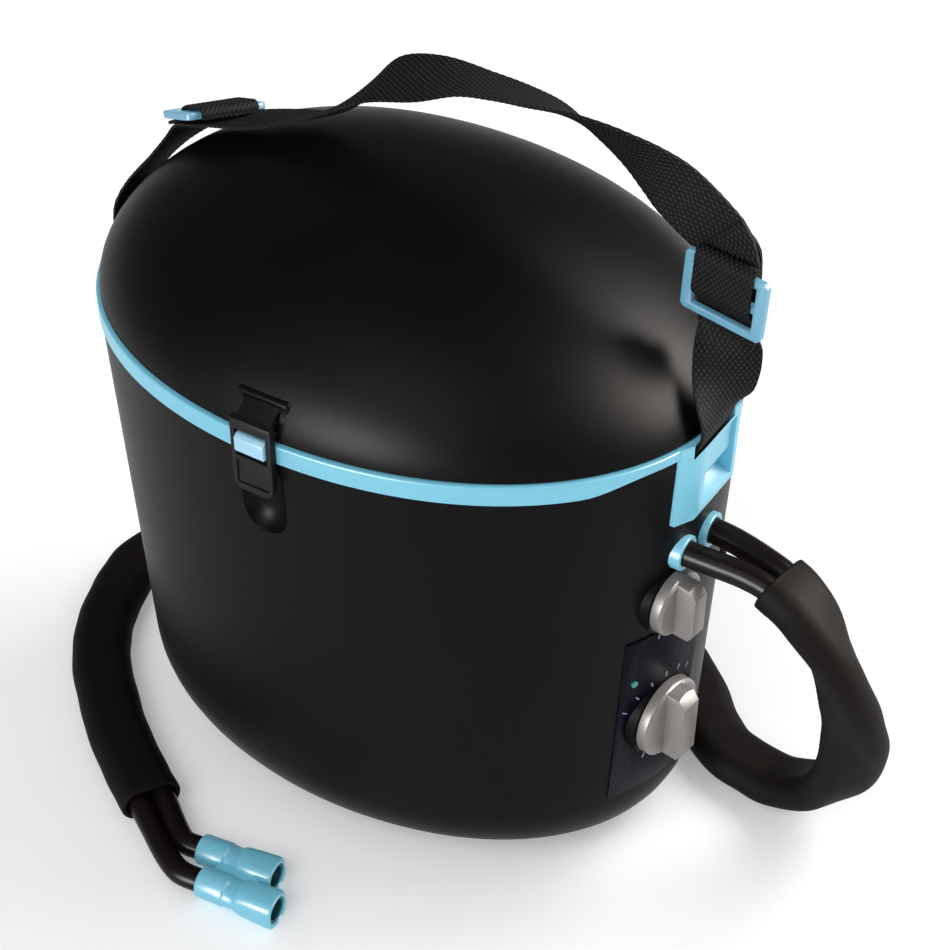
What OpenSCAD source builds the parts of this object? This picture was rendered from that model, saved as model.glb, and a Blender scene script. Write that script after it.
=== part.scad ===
// Hot and cold therapy machine: an insulated oval tub with a hinged domed lid,
// a pump and heater bay behind the control end, a carry strap over the lid, and a
// twin hose in a foam sleeve that ends in a two-way quick coupling.
// Millimetres. Z is up, the floor is z = 0, X runs along the case towards the
// controls, and the latch is on the -Y side.

/* [Case] */
// Length of the case at the rim
case_length = 280; // [270:1:300]
// Depth of the case at the rim
case_depth = 211; // [205:1:226]
// Height of the top of the tub wall, under the rim band
tub_height = 218.5; // [212:0.5:232]
// Length of the case at the floor, before its bottom edge is rounded
base_length = 269; // [262:1:290]
// Depth of the case at the floor, before its bottom edge is rounded
base_depth = 191; // [186:1:204]
// Radius of the rounded bottom edge
base_radius = 40; // [34:1:44]
// Exponent of the plan outline, where 2 is a plain ellipse
plan_power = 2.07; // [2:0.01:2.2]
// Thickness of the outer wall
wall = 3; // [2.6:0.1:3.4]
// Thickness of the rubber pad under the case
pad_thickness = 3; // [2.5:0.1:3.4]
// Length of the rubber pad
pad_length = 150; // [120:1:170]
// Width of the rubber pad
pad_width = 90; // [80:1:100]

/* [Rim band] */
// Height of the coloured band around the rim
band_height = 8.5; // [8:0.1:9.5]
// Height of the band where it thins towards the two ends
band_end_height = 4.5; // [3.5:0.1:6]
// How far the band stands out from the tub wall
band_proud = 0.8; // [0.4:0.1:1.2]
// Width of the band's flat top
band_width = 9.8; // [9:0.1:11]

/* [Lid] */
// Height of the lid above the band
lid_height = 66; // [60:1:74]
// Thickness of the lid shell
lid_wall = 3; // [2.6:0.1:3.4]
// How far the lid stands in from the tub wall
lid_inset = 0.9; // [0.8:0.1:1.4]
// Roundness of the lid along its length
lid_round_x = 0.936; // [0.85:0.01:1]
// Roundness of the lid across its depth
lid_round_y = 1.03; // [0.92:0.01:1.08]
// Roundness of the lid in height
lid_round_z = 1.206; // [1.1:0.01:1.3]
// How far the crown leans away from the controls
crown_shift = 7; // [0:1:9]
// Radius of a hinge knuckle
knuckle_radius = 4.2; // [4:0.1:4.6]
// Radius of the hinge pin
hinge_pin_radius = 1.6; // [1.4:0.1:1.8]
// Length of the hinge
hinge_length = 36; // [32:1:40]

/* [Latch] */
// Width of the latch
latch_width = 18.6; // [17:0.2:20]
// Height of the bottom of the latch above the floor
latch_bottom = 203; // [201:0.5:205]
// Width of the bars beside the latch window
latch_bar = 2; // [1.8:0.1:2.6]
// Thickness of the latch plate
latch_thickness = 3.1; // [2.6:0.1:3.4]
// Radius of the latch pin
latch_pin_radius = 1.2; // [1:0.05:1.3]
// Depth of the finger scoop under the latch
scoop_depth = 6; // [5:0.2:6.4]
// Height of the finger scoop
scoop_height = 25; // [22:0.5:28]

/* [Controls] */
// How far the upper knob lies under the hose ports
upper_knob_drop = 22; // [20:0.5:26]
// Side position of the upper knob
upper_knob_y = -23; // [-25:1:-19]
// Radius of the upper knob
upper_knob_radius = 14; // [12:0.5:15]
// Height of the lower knob
lower_knob_z = 83; // [78:1:88]
// Side position of the lower knob
lower_knob_y = -19; // [-22:1:-17]
// Radius of the lower knob
lower_knob_radius = 18; // [15:0.5:19]
// Thickness of a knob's skirt
knob_skirt = 5.2; // [4:0.2:6]
// Height of a knob's grip above the wall
knob_height = 15; // [13:0.5:17]
// Angle of the knob shafts from the length of the case
knob_yaw = -8; // [-10:1:-6]
// Radius of the knob shafts
shaft_radius = 3; // [2.5:0.1:3.2]
// Thickness of the control label
label_thickness = 0.5; // [0.3:0.1:0.6]

/* [Hoses] */
// How far the hose ports lie under the strap anchor
port_drop = 18.5; // [17:0.5:20]
// Distance between the two hose ports
port_pitch = 18; // [17:0.5:19]
// Side position between the two hose ports
port_y = -9.5; // [-11:0.5:-8]
// Outer radius of a hose
hose_radius = 5.3; // [4.8:0.1:5.4]
// Outer radius of a port collar
collar_radius = 7.4; // [7:0.1:8]
// Thickness of the foam sleeve
sleeve_wall = 2.3; // [2.1:0.1:2.8]
// Clearance between the sleeve and the hoses
sleeve_gap = 0.95; // [0.9:0.05:1.2]
// Length of a coupling barrel
barrel_length = 38; // [34:1:42]
// Outer radius of a coupling socket
socket_radius = 7.6; // [7.2:0.1:8]
// Bore radius of a coupling socket
socket_bore = 4.9; // [4.5:0.1:5.2]
// Depth of a coupling socket
socket_depth = 13; // [10:0.5:15]

/* [Strap] */
// Width of the webbing
strap_width = 25.4; // [24:0.1:26]
// Thickness of the webbing
strap_thickness = 1.6; // [1.2:0.1:1.8]
// Length of a strap adjuster across the webbing
glide_length = 36; // [34:0.5:38]
// Height of a strap adjuster along the webbing
glide_height = 25; // [22:0.5:27]
// Thickness of a strap adjuster
glide_thickness = 3; // [2.6:0.1:3.4]
// Side position of the middle of the strap anchors
anchor_y = -7.5; // [-9:0.5:-5]
// Width of a strap anchor
anchor_width = 40; // [39:0.5:42]
// Height of a strap anchor
anchor_height = 39.5; // [38:0.5:42]
// How far a strap anchor stands out from the wall
anchor_proud = 1.4; // [1.2:0.1:1.8]
// Radius of the bar that the webbing is sewn round
anchor_bar_radius = 2.2; // [1.8:0.1:2.4]

/* [Inside] */
// Thickness of the foam between the wall and the reservoir
foam = 11.7; // [10:0.1:13]
// Thickness of the reservoir wall
liner_wall = 2.2; // [1.8:0.1:2.6]
// Height of the reservoir's underside
liner_bottom = 40; // [36:1:44]
// Length position of the wall between the reservoir and the equipment bay
bay_x = 73; // [70:0.5:75]
// Bore radius of the direct-current power socket
power_bore = 2.75; // [2.5:0.05:3]

/* [Hidden] */
// Points around each lofted ring
steps = 48;
// Gap between parts that don't move on each other
gap = 0.3;
// Gap round a shaft or pin that turns
running = 0.05;
band_top = tub_height + band_height;
shell_top = band_top - band_end_height + 0.5;
lid_base = band_top + gap;
half_a = case_length / 2;
half_b = case_depth / 2;
inner_radius = base_radius - wall;
floor_z = base_radius - inner_radius * sin(67.5);
pin_y = half_b + 5.5;
rebate = 1.2;
liner_inset = wall + foam;
flange_z = shell_top - 2;
latch_pin_y = -(half_b - 6.2);
latch_pin_z = band_top + 11.5;
plate_back = half_b + band_proud + 0.4;
plate_front = plate_back + latch_thickness;
anchor_top = band_top + 3;
anchor_low = anchor_top - anchor_height;
bar_x = half_a - 6.15;
bar_z = band_top - 13;
wall_x = bay_x + 5.6;
wall_back = wall_x + 2;
tray_z = 40.5;
tray_gap = 4.6;
pump_x = 102;
pump_y = 24;
suction_z = 52;
return_z = shell_top - 31;
coupling_yaw = 7.83;
port_z = anchor_low - port_drop;
upper_knob_z = port_z - upper_knob_drop;
light_z = lower_knob_z + 27;
label_top = upper_knob_z - upper_knob_radius - 2;

function sgn(v) = v < 0 ? -1 : 1;
function power(v, e) = sgn(v) * pow(abs(v), e);
function oval(a, b, n, i) = [a * power(cos(360 * i / steps), 2 / n),
  b * power(sin(360 * i / steps), 2 / n)];
// Half length, half depth and plan exponent of the case wall at a height
function part_up(z) = min(z / tub_height, 1);
function case_a(z) = base_length / 2 + (half_a - base_length / 2) * part_up(z);
function case_b(z) = base_depth / 2 + (half_b - base_depth / 2) * part_up(z);
function case_n(z) = 2 + (plan_power - 2) * part_up(z);
// One ring of the case outline at a height, set in by d
function ring(z, d) = [for (i = [0:steps - 1])
  let (p = oval(case_a(z) - d, case_b(z) - d, case_n(z), i)) [p[0], p[1], z]];
// The same ring cut off by a flat wall at x = w
function cut_ring(z, d, w) = [for (p = ring(z, d)) [min(p[0], w), p[1], p[2]]];
// Lower edge of the rim band, which rises towards both ends of the case
function band_low(x) = tub_height + (band_height - band_end_height)
  * min(max((abs(x) / half_a - 0.82) / 0.12, 0), 1);
function low_ring(d, drop) = [for (i = [0:steps - 1])
  let (q = oval(half_a, half_b, plan_power, i), p = oval(half_a - d, half_b - d, plan_power, i))
  [p[0], p[1], band_low(q[0]) - drop]];
// One ring of a dome of height h, set in by d from the case, at t degrees up its curve
function dome_ring(d, h, base, t) = [for (i = [0:steps - 1])
  let (p = oval((half_a - d) * pow(cos(t), lid_round_x), (half_b - d) * pow(cos(t), lid_round_y),
    plan_power, i),
    up = pow(sin(t), lid_round_z))
  [p[0] - crown_shift * up, p[1], base + h * up]];
// Outer wall's X at a side position and height
function wall_at(y, z) = case_a(z) * pow(1 - pow(abs(y) / case_b(z), case_n(z)), 1 / case_n(z));
function joined(list) = [for (r = list) for (p = r) p];

// A closed solid through a list of rings, each with the same number of points
module skin(rings, fan = false) {
  n = len(rings[0]);
  m = len(rings);
  low = rings[0];
  high = rings[m - 1];
  // Middles of the two ends, used where an end has points in one straight line
  middles = [low[0] * 0.25 + low[floor(n / 4)] * 0.25 + low[floor(n / 2)] * 0.5,
    high[0] * 0.25 + high[floor(n / 4)] * 0.25 + high[floor(n / 2)] * 0.5];
  caps = fan
    ? [for (i = [0:n - 1]) each [[m * n, i, (i + 1) % n],
      [m * n + 1, (m - 1) * n + (i + 1) % n, (m - 1) * n + i]]]
    : [[for (i = [0:n - 1]) i], [for (i = [n - 1:-1:0]) (m - 1) * n + i]];
  sides = [for (j = [0:m - 2]) for (i = [0:n - 1]) let (k = (i + 1) % n)
    each [[j * n + i, (j + 1) * n + i, (j + 1) * n + k], [j * n + i, (j + 1) * n + k, j * n + k]]];
  polyhedron(points = concat(joined(rings), fan ? middles : []), faces = concat(caps, sides),
    convexity = 12);
}

// A closed hoop through a list of rings, where the last ring joins the first
module hoop(rings) {
  n = len(rings[0]);
  m = len(rings);
  sides = [for (j = [0:m - 1]) for (i = [0:n - 1]) let (k = (i + 1) % n, l = (j + 1) % m)
    each [[j * n + i, l * n + i, l * n + k], [j * n + i, l * n + k, j * n + k]]];
  polyhedron(points = joined(rings), convexity = 12, faces = sides);
}

// Direction of a path at one of its points
function unit(v) = v / norm(v);
function heading(path, j) = unit(path[min(j + 1, len(path) - 1)] - path[max(j - 1, 0)]);
function level_side(h) = unit([-h[1], h[0], 0]);
// Section: a list of [across, up] points; path: a list of points
function swept(path, section) = [for (j = [0:len(path) - 1])
  let (h = heading(path, j), s = level_side(h), u = cross(h, s))
  [for (q = section) path[j] + q[0] * s + q[1] * u]];
function stadium_section(half, r) = concat(
  [for (i = [-2.5:1:2.5]) [half + r * cos(30 * i), r * sin(30 * i)]],
  [for (i = [-2.5:1:2.5]) [-half - r * cos(30 * i), -r * sin(30 * i)]]);
// Side directions carried along a path without twist, from the one at its start
function carried(path, j, s) = j == len(path) ? [] : let (h = heading(path, j), v = unit(s - (s * h) * h))
  concat([v], carried(path, j + 1, v));
module tube(path, r, n) {
  sides = carried(path, 0, level_side(heading(path, 0)));
  skin([for (j = [0:len(path) - 1]) let (s = sides[j], u = cross(heading(path, j), s))
    [for (i = [0:n - 1]) path[j] + r * (cos(360 * (i + 0.5) / n) * s + sin(360 * (i + 0.5) / n) * u)]]);
}

// A flat ribbon: each station is [x, y, z, width direction]
function ribbon_rings(s, w, t) = [for (j = [0:len(s) - 1])
  let (a = s[min(j + 1, len(s) - 1)], b = s[max(j - 1, 0)],
    h = unit([a[0] - b[0], a[1] - b[1], a[2] - b[2]]),
    n = unit(cross(h, [s[j][3], s[j][4], s[j][5]])), v = cross(n, h),
    p = [s[j][0], s[j][1], s[j][2]])
  [p + v * w / 2 - n * t / 2, p + v * w / 2 + n * t / 2, p - v * w / 2 + n * t / 2,
    p - v * w / 2 - n * t / 2]];

// Puts a cylinder along +X, with its start at the origin
module along_x(r, h) {
  rotate([0, 90, 0])
    cylinder(r = r, h = h, $fn = 64);
}

module along_y(r, h) {
  rotate([-90, 0, 0])
    cylinder(r = r, h = h, $fn = 64);
}

// A box given by its lowest and highest corners
module block(a, b) {
  translate(a)
    cube(b - a);
}

// Where a knob's axis meets the wall
module at_upper() {
  translate([wall_at(upper_knob_y, upper_knob_z), upper_knob_y, upper_knob_z])
    rotate([0, 0, knob_yaw])
      children();
}

module at_lower() {
  translate([wall_at(lower_knob_y, lower_knob_z), lower_knob_y, lower_knob_z])
    rotate([0, 0, knob_yaw])
      children();
}

module at_light() {
  translate([wall_at(-35.5, light_z), -35.5, light_z])
    rotate([0, 0, -27])
      children();
}

module at_power() {
  translate([wall_at(40, 125), 40, 125])
    rotate([0, 0, 31])
      children();
}

port_near = port_y - port_pitch / 2;
port_far = port_y + port_pitch / 2;

// The space that a strap anchor fills, with a gap all round; deep is how far in it goes
module anchor_space(deep) {
  for (s = [0, 1])
    mirror([s, 0, 0])
      block([half_a - deep - gap, anchor_y - anchor_width / 2 - gap, anchor_low - gap],
        [half_a + 12, anchor_y + anchor_width / 2 + gap, anchor_top + 8]);
}

// Outer tub: tapered oval cup with a rounded bottom edge and a stepped top edge
module body_shell() {
  color([0.04, 0.04, 0.045])
    difference() {
      union() {
        skin(concat(
          [for (t = [asin(1 - pad_thickness / base_radius), 57, 43, 29, 15, 0])
            ring(base_radius * (1 - sin(t)), base_radius * (1 - cos(t)))],
          [low_ring(0, gap), low_ring(rebate, gap), ring(shell_top, rebate), ring(shell_top, wall)],
          [for (t = [0, 22.5, 45, 67.5])
            ring(base_radius - inner_radius * sin(t), base_radius - inner_radius * cos(t))]));
        // Solid backing round the finger scoop
        block([-14, -(case_b(190) - 1.4), latch_bottom - scoop_height - 6],
          [14, -(case_b(190) - scoop_depth - 3), latch_bottom + 9]);
        // Flat pad for the hinge
        block([-hinge_length / 2 - 2, half_b - 5, tub_height - 16],
          [hinge_length / 2 + 2, half_b + 0.9, tub_height - 1.5]);
        // Flat seats behind the two knobs
        at_upper()
          translate([-6, 0, 0])
            along_x(upper_knob_radius + 1, 6.8);
        at_lower()
          translate([-6, 0, 0])
            along_x(lower_knob_radius + 1, 6.8);
      }
      // Finger scoop
      for (dz = [0, latch_bottom - (latch_bottom - scoop_height + 12) + 2])
        translate([0, -(case_b(190) + 12 - scoop_depth), latch_bottom - scoop_height + 12 + dz])
          sphere(r = 12, $fn = 64);
      translate([0, -(case_b(190) + 12 - scoop_depth), latch_bottom - scoop_height + 12])
        cylinder(r = 12, h = scoop_height - 10, $fn = 64);
      // Strap anchors
      anchor_space(13.6);
      // Hose ports
      for (y = [port_near, port_far])
        translate([120, y, port_z])
          along_x(collar_radius + gap / 2, 30);
      // Control bushings
      at_upper()
        translate([-20, 0, 0])
          along_x(4.8 + running, 30);
      at_lower()
        translate([-20, 0, 0])
          along_x(4.8 + running, 30);
      // Power light and power socket
      at_light()
        translate([-10, 0, 0])
          along_x(1.6 + running, 20);
      at_power()
        translate([-15, 0, 0])
          along_x(5.5 + running, 30);
      // Hinge screws
      for (x = [-12, 0, 12])
        translate([x, half_b - 8, tub_height - 9])
          along_y(1.6 + running, 20);
    }
}

// Non-slip pad bonded to the flat underside
module base_pad() {
  color([0.09, 0.09, 0.09]) {
    block([-pad_length / 2, -pad_width / 2 + 30, 0], [pad_length / 2, pad_width / 2 - 30, pad_thickness]);
    block([-pad_length / 2 + 30, -pad_width / 2, 0], [pad_length / 2 - 30, pad_width / 2, pad_thickness]);
    for (x = [-1, 1], y = [-1, 1])
      translate([x * (pad_length / 2 - 30), y * (pad_width / 2 - 30), 0])
        cylinder(r = 30, h = pad_thickness, $fn = 64);
  }
}

// Coloured band that caps the tub wall and holds the liner's flange down
module rim_band() {
  color([0.36, 0.72, 0.86])
    difference() {
      hoop([low_ring(-band_proud, 0), ring(band_top - 0.8, -band_proud), ring(band_top,
        -band_proud + 0.8),
        ring(band_top, band_width), ring(shell_top, band_width), ring(shell_top, rebate - gap),
        low_ring(rebate - gap, 0)]);
      anchor_space(5.5);
      block([-7.1, -half_b - 5, tub_height - 5], [7.1, -half_b + 4, band_top + 5]);
    }
}

// Catch lug that stands out through the latch window
module latch_keeper() {
  color([0.55, 0.82, 0.93]) {
    block([-6.8, -half_b - 0.7, shell_top], [6.8, -half_b + 3.7, band_top]);
    translate([-6.8, 0, 0])
      rotate([90, 0, 90])
        linear_extrude(13.6)
          polygon([[-half_b + 0.2, band_top - 5.5], [-plate_front - 0.8, band_top - 5.5],
            [-plate_front - 1.4, band_top - 4.5], [-plate_front - 1.4, band_top + 1],
            [-plate_front + 0.2, band_top + 2.6], [-half_b - 0.6, band_top + 2.6],
            [-half_b - 0.6, band_top], [-half_b + 0.2, band_top]]);
  }
}

// Strap anchor in the end wall: an outer pocket, and behind it a chamber for the bar
module anchor() {
  low = anchor_y - anchor_width / 2;
  high = anchor_y + anchor_width / 2;
  face = half_a + anchor_proud;
  difference() {
    union() {
      translate([0, high, 0])
        rotate([90, 0, 0])
          linear_extrude(anchor_width)
            polygon([[half_a - 13.6, anchor_low], [face - 0.6, anchor_low], [face, anchor_low + 1],
              [face + 0.5, anchor_top - 1], [face + 0.1, anchor_top], [half_a - 0.25, anchor_top],
              [half_a - 0.25, band_top], [half_a - 5.5, band_top], [half_a - 5.5, shell_top - gap],
              [half_a - 13.6, shell_top - gap]]);
      block([half_a - 13.6, low - 5, anchor_low + 2], [half_a - 11, high + 5, anchor_low + 26]);
    }
    // Slanted facet along the front side, where the case curves away
    translate([0, 0, anchor_low - 5])
      linear_extrude(anchor_height + 10)
        polygon([[half_a - 3.6, low - 0.5], [face + 1.5, low + 12], [face + 9, low + 12],
          [face + 9, low - 0.5]]);
    // Pocket on the outside, deep below the chamber
    translate([0, high - 3, 0])
      rotate([90, 0, 0])
        linear_extrude(anchor_width - 16)
          polygon([[half_a + 9, anchor_low + 3], [half_a + 0.5, anchor_low + 4.5],
            [half_a - 4.5, anchor_low + 7], [half_a - 4.5, anchor_low + 14],
            [half_a - 0.1, anchor_low + 17], [half_a - 0.1, anchor_low + 26],
            [half_a + 0.9, anchor_low + 32], [half_a + 9, anchor_low + 33]]);
    // Slot for the webbing, and the chamber round the bar
    translate([0, anchor_y + 14.2, 0])
      rotate([90, 0, 0])
        linear_extrude(28.4)
          polygon([[half_a - 0.35, anchor_top + 5], [half_a + 3.4, anchor_top + 5],
            [half_a + 2.6, band_top - 1.5],
            [half_a - 1.4, band_top - 8.5], [half_a - 1.4, band_top - 19],
            [half_a - 10.6, band_top - 19],
            [half_a - 10.6, band_top - 5.6], [half_a - 4, band_top - 5.6], [half_a - 2.2, band_top - 3],
            [half_a - 0.35, band_top]]);
    // Seats for the bar
    translate([bar_x, anchor_y - 17, bar_z])
      along_y(anchor_bar_radius + running, 34);
  }
}

module anchor_right() {
  color([0.42, 0.77, 0.9])
    anchor();
}

module anchor_left() {
  color([0.42, 0.77, 0.9])
    mirror([1, 0, 0])
      anchor();
}

// Steel bars that the ends of the webbing are sewn round
module anchor_bars() {
  color([0.6, 0.6, 0.62])
    for (s = [-1, 1])
      translate([s * bar_x, anchor_y - 16.8, bar_z])
        along_y(anchor_bar_radius, 33.6);
}

// Collars that line the two hose ports
module port_collars() {
  color([0.42, 0.77, 0.9])
    for (y = [port_near, port_far])
      difference() {
        union() {
          translate([127.2, y, port_z])
            along_x(collar_radius, wall_at(y, port_z) + 2.7 - 127.2);
          translate([127.2, y, port_z])
            along_x(8.5, 1.3);
        }
        translate([120, y, port_z])
          along_x(hose_radius + 0.1, 30);
      }
}

// Straight fittings that join the inner tubes to the hoses
module port_fittings() {
  color([0.75, 0.75, 0.72])
    for (y = [port_near, port_far]) {
      translate([112, y, port_z])
        along_x(hose_radius - 0.2, 21);
      translate([119, y, port_z])
        rotate([0, 90, 0])
          cylinder(r = 8, h = 4, $fn = 6);
    }
}

// Reservoir: oval basin with a flat wall towards the equipment bay
module reservoir_liner() {
  color([0.86, 0.88, 0.88])
    difference() {
      skin([cut_ring(liner_bottom, liner_inset + 12, bay_x), cut_ring(liner_bottom + 5,
        liner_inset + 3, bay_x),
        cut_ring(liner_bottom + 14, liner_inset, bay_x), cut_ring(flange_z, liner_inset, bay_x),
        cut_ring(flange_z, wall + 1.2, bay_x + 5.3), cut_ring(shell_top, wall + 1.2, bay_x + 5.3),
        cut_ring(shell_top, liner_inset + liner_wall, bay_x - liner_wall),
        cut_ring(liner_bottom + 14, liner_inset + liner_wall, bay_x - liner_wall),
        cut_ring(liner_bottom + 7, liner_inset + liner_wall + 3, bay_x - liner_wall),
        cut_ring(liner_bottom + liner_wall, liner_inset + liner_wall + 11, bay_x - liner_wall)],
          fan = true);
      anchor_space(13.6);
      translate([bay_x - 10, pump_y, suction_z])
        along_x(4.2 + running, 20);
      translate([bay_x - 10, port_far, return_z])
        along_x(4.2 + running, 20);
    }
}

// Insulation between the tub and the reservoir
module insulation_foam() {
  color([0.93, 0.88, 0.66])
    difference() {
      skin([cut_ring(floor_z, 27.5, bay_x + 5.3),
        cut_ring(base_radius - (inner_radius - 0.5) * sin(40),
          base_radius - (inner_radius - 0.5) * cos(40), bay_x + 5.3),
        cut_ring(base_radius, wall + 0.5, bay_x + 5.3), cut_ring(flange_z - gap, wall + 0.5, bay_x + 5.3),
        cut_ring(flange_z - gap, liner_inset - 4 * gap, bay_x + 3 * gap),
        cut_ring(liner_bottom + 14, liner_inset - 4 * gap, bay_x + 3 * gap),
        cut_ring(liner_bottom + 4.5, liner_inset + 1.5, bay_x + 3 * gap),
        cut_ring(liner_bottom - gap, liner_inset + 9.5, bay_x + 3 * gap)], fan = true);
      block([-14.5, -half_b, latch_bottom - scoop_height - 6.5],
        [14.5, -(case_b(190) - scoop_depth - 3.5), latch_bottom + 9.5]);
      block([-hinge_length / 2 - 3, half_b - 8, tub_height - 17],
        [hinge_length / 2 + 3, half_b + 5, tub_height + 5]);
      block([-half_a - 5, anchor_y - anchor_width / 2 - 5.5, anchor_low - 0.5],
        [-half_a + 14, anchor_y + anchor_width / 2 + 5.5, band_top]);
      translate([bay_x - 10, pump_y, suction_z])
        along_x(4.2 + 0.4, 20);
      translate([bay_x - 10, port_far, return_z])
        along_x(4.2 + 0.4, 20);
    }
}

// Half width of the tub's inside at the bay wall
function inside_half(z, d) = (case_b(z) - d - 0.5)
  * pow(1 - pow(wall_back / (case_a(z) - d), case_n(z)), 1 / case_n(z));
bay_edge = [for (t = [67.5, 45, 22.5, 0])
  let (z = base_radius - inner_radius * sin(t),
    d = base_radius - inner_radius * cos(t)) [inside_half(z, d), z]];

// Flat wall between the insulated reservoir and the equipment bay
module bay_wall() {
  color([0.12, 0.12, 0.13])
    difference() {
      union() {
        translate([wall_x, 0, 0])
          rotate([90, 0, 90])
            linear_extrude(2)
              polygon(concat([for (p = bay_edge) [p[0], p[1]]],
                [[inside_half(shell_top, wall), shell_top - 2.5],
                  [-inside_half(shell_top, wall), shell_top - 2.5]],
                [for (i = [3:-1:0]) [-bay_edge[i][0], bay_edge[i][1]]]));
        for (y = [-62, 62])
          block([wall_x + 1, y - 5, shell_top - 18], [wall_back + 10, y + 5, shell_top - 2.5]);
      }
      translate([wall_x - 5, pump_y, suction_z])
        along_x(4.2 + running, 20);
      translate([wall_x - 5, port_far, return_z])
        along_x(4.2 + running, 20);
      for (y = [-62, 62])
        translate([wall_back + 5, y, shell_top - 15])
          cylinder(r = 1.5 + running, h = 20, $fn = 48);
    }
}

// Shelf that carries the pump
module equipment_tray() {
  color([0.2, 0.2, 0.21])
    translate([0, 0, tray_z - 2.5])
      linear_extrude(2.5)
        polygon([for (p = [[0, -66], [1, -53], [1, -27], [1, 27], [1, 53], [0, 66]])
          [p[0] == 0 ? wall_back : wall_at(p[1], tray_z) - wall - tray_gap, p[1]]]);
}

// Cover over the equipment bay, under the rim band
module bay_deck() {
  color([0.07, 0.07, 0.075])
    difference() {
      intersection() {
        skin([ring(shell_top - 2.5, wall + 0.4), ring(shell_top, wall + 0.4)]);
        block([wall_x, -200, 0], [200, 200, 400]);
      }
      anchor_space(13.6);
      for (y = [-62, 62])
        translate([wall_back + 5, y, shell_top - 15])
          cylinder(r = 1.7, h = 20, $fn = 48);
    }
}

// Two pan-head screws with cross recesses
module deck_screws() {
  color([0.7, 0.7, 0.72])
    for (y = [-62, 62])
      translate([wall_back + 5, y, shell_top])
        difference() {
          union() {
            cylinder(r = 3.2, h = 1.7, $fn = 48);
            translate([0, 0, -12])
              cylinder(r = 1.5, h = 12, $fn = 48);
          }
          block([-2.1, -0.4, 0.9], [2.1, 0.4, 3]);
          block([-0.4, -2.1, 0.9], [0.4, 2.1, 3]);
        }
}

// Thin printed plate behind the lower knob, following the wall
module control_label() {
  ys = [-41, -36, -31, -26, -21, -16, -11, -6, -1, 4];
  color([0.05, 0.07, 0.15])
    difference() {
      skin([for (z = [lower_knob_z - 40, (lower_knob_z - 40 + label_top) / 2,
        label_top]) concat([for (y = ys) [wall_at(y, z) + 0.25 + label_thickness,
        y, z]],
        [for (i = [len(ys) - 1:-1:0]) [wall_at(ys[i], z) + 0.25, ys[i], z]])]);
      at_lower()
        translate([-20, 0, 0])
          along_x(lower_knob_radius + 1 + gap, 40);
      at_light()
        translate([-10, 0, 0])
          along_x(2, 20);
    }
}

// Round lens of the power light
module power_light() {
  color([0.1, 0.6, 0.5])
    at_light() {
      translate([-7, 0, 0])
        along_x(1.6, 8.2);
      translate([-11, 0, 0])
        along_x(2.6, 4);
    }
}

// Body, bushing and nut of a rotary control
module control(body_radius) {
  difference() {
    union() {
      translate([-24, 0, 0])
        along_x(body_radius, 16);
      translate([-8, 0, 0])
        along_x(4.8, 8.6);
      translate([-8, 0, 0])
        rotate([0, 90, 0])
          cylinder(r = 7.4, h = 2, $fn = 6);
    }
    translate([-19, 0, 0])
      along_x(shaft_radius + running, 30);
  }
}

module upper_control() {
  color([0.25, 0.27, 0.3])
    at_upper()
      control(9.5);
}

module lower_control() {
  color([0.25, 0.27, 0.3])
    at_lower()
      control(12);
}

module upper_shaft() {
  color([0.7, 0.7, 0.7])
    at_upper()
      translate([-18.8, 0, 0])
        along_x(shaft_radius, 28.4);
}

module lower_shaft() {
  color([0.7, 0.7, 0.7])
    at_lower()
      translate([-18.8, 0, 0])
        along_x(shaft_radius, 28.4);
}

// Knob with a stepped skirt and a raised grip bar, blind bore for its shaft
module knob(r) {
  difference() {
    union() {
      translate([1.2, 0, 0])
        along_x(r, knob_skirt - 1.2);
      translate([knob_skirt, 0, 0])
        rotate([0, 90, 0])
          cylinder(r1 = r, r2 = r - 1.2, h = 1.2, $fn = 64);
      intersection() {
        translate([knob_skirt, 0, 0])
          rotate([90, 0, 0])
            linear_extrude(r * 0.56, center = true)
              polygon([[0, -r], [knob_height - knob_skirt - 3, -r], [knob_height - knob_skirt, -r + 4],
                [knob_height - knob_skirt, r - 5], [knob_height - knob_skirt - 4, r], [0, r]]);
        along_x(r - 0.6, 40);
      }
    }
    along_x(shaft_radius + running, 9.8);
  }
}

module upper_knob() {
  color([0.5, 0.49, 0.47])
    at_upper()
      knob(upper_knob_radius);
}

module lower_knob() {
  color([0.5, 0.49, 0.47])
    at_lower()
      knob(lower_knob_radius);
}

// Circuit board on posts, with a transformer, capacitors and a relay
module control_board() {
  color([0.05, 0.3, 0.15]) {
    block([wall_back + 4, -64, 72], [wall_back + 5.6, -28, 150]);
    for (y = [-60, -32], z = [76, 146])
      translate([wall_back, y, z])
        along_x(2.2, 4.5);
    block([wall_back + 5, -60, 84], [wall_back + 16, -40, 104]);
    block([wall_back + 5, -44, 118], [wall_back + 12, -32, 132]);
    for (z = [112, 124, 136])
      translate([wall_back + 5, -54, z])
        along_x(4, 11);
  }
}

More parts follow.
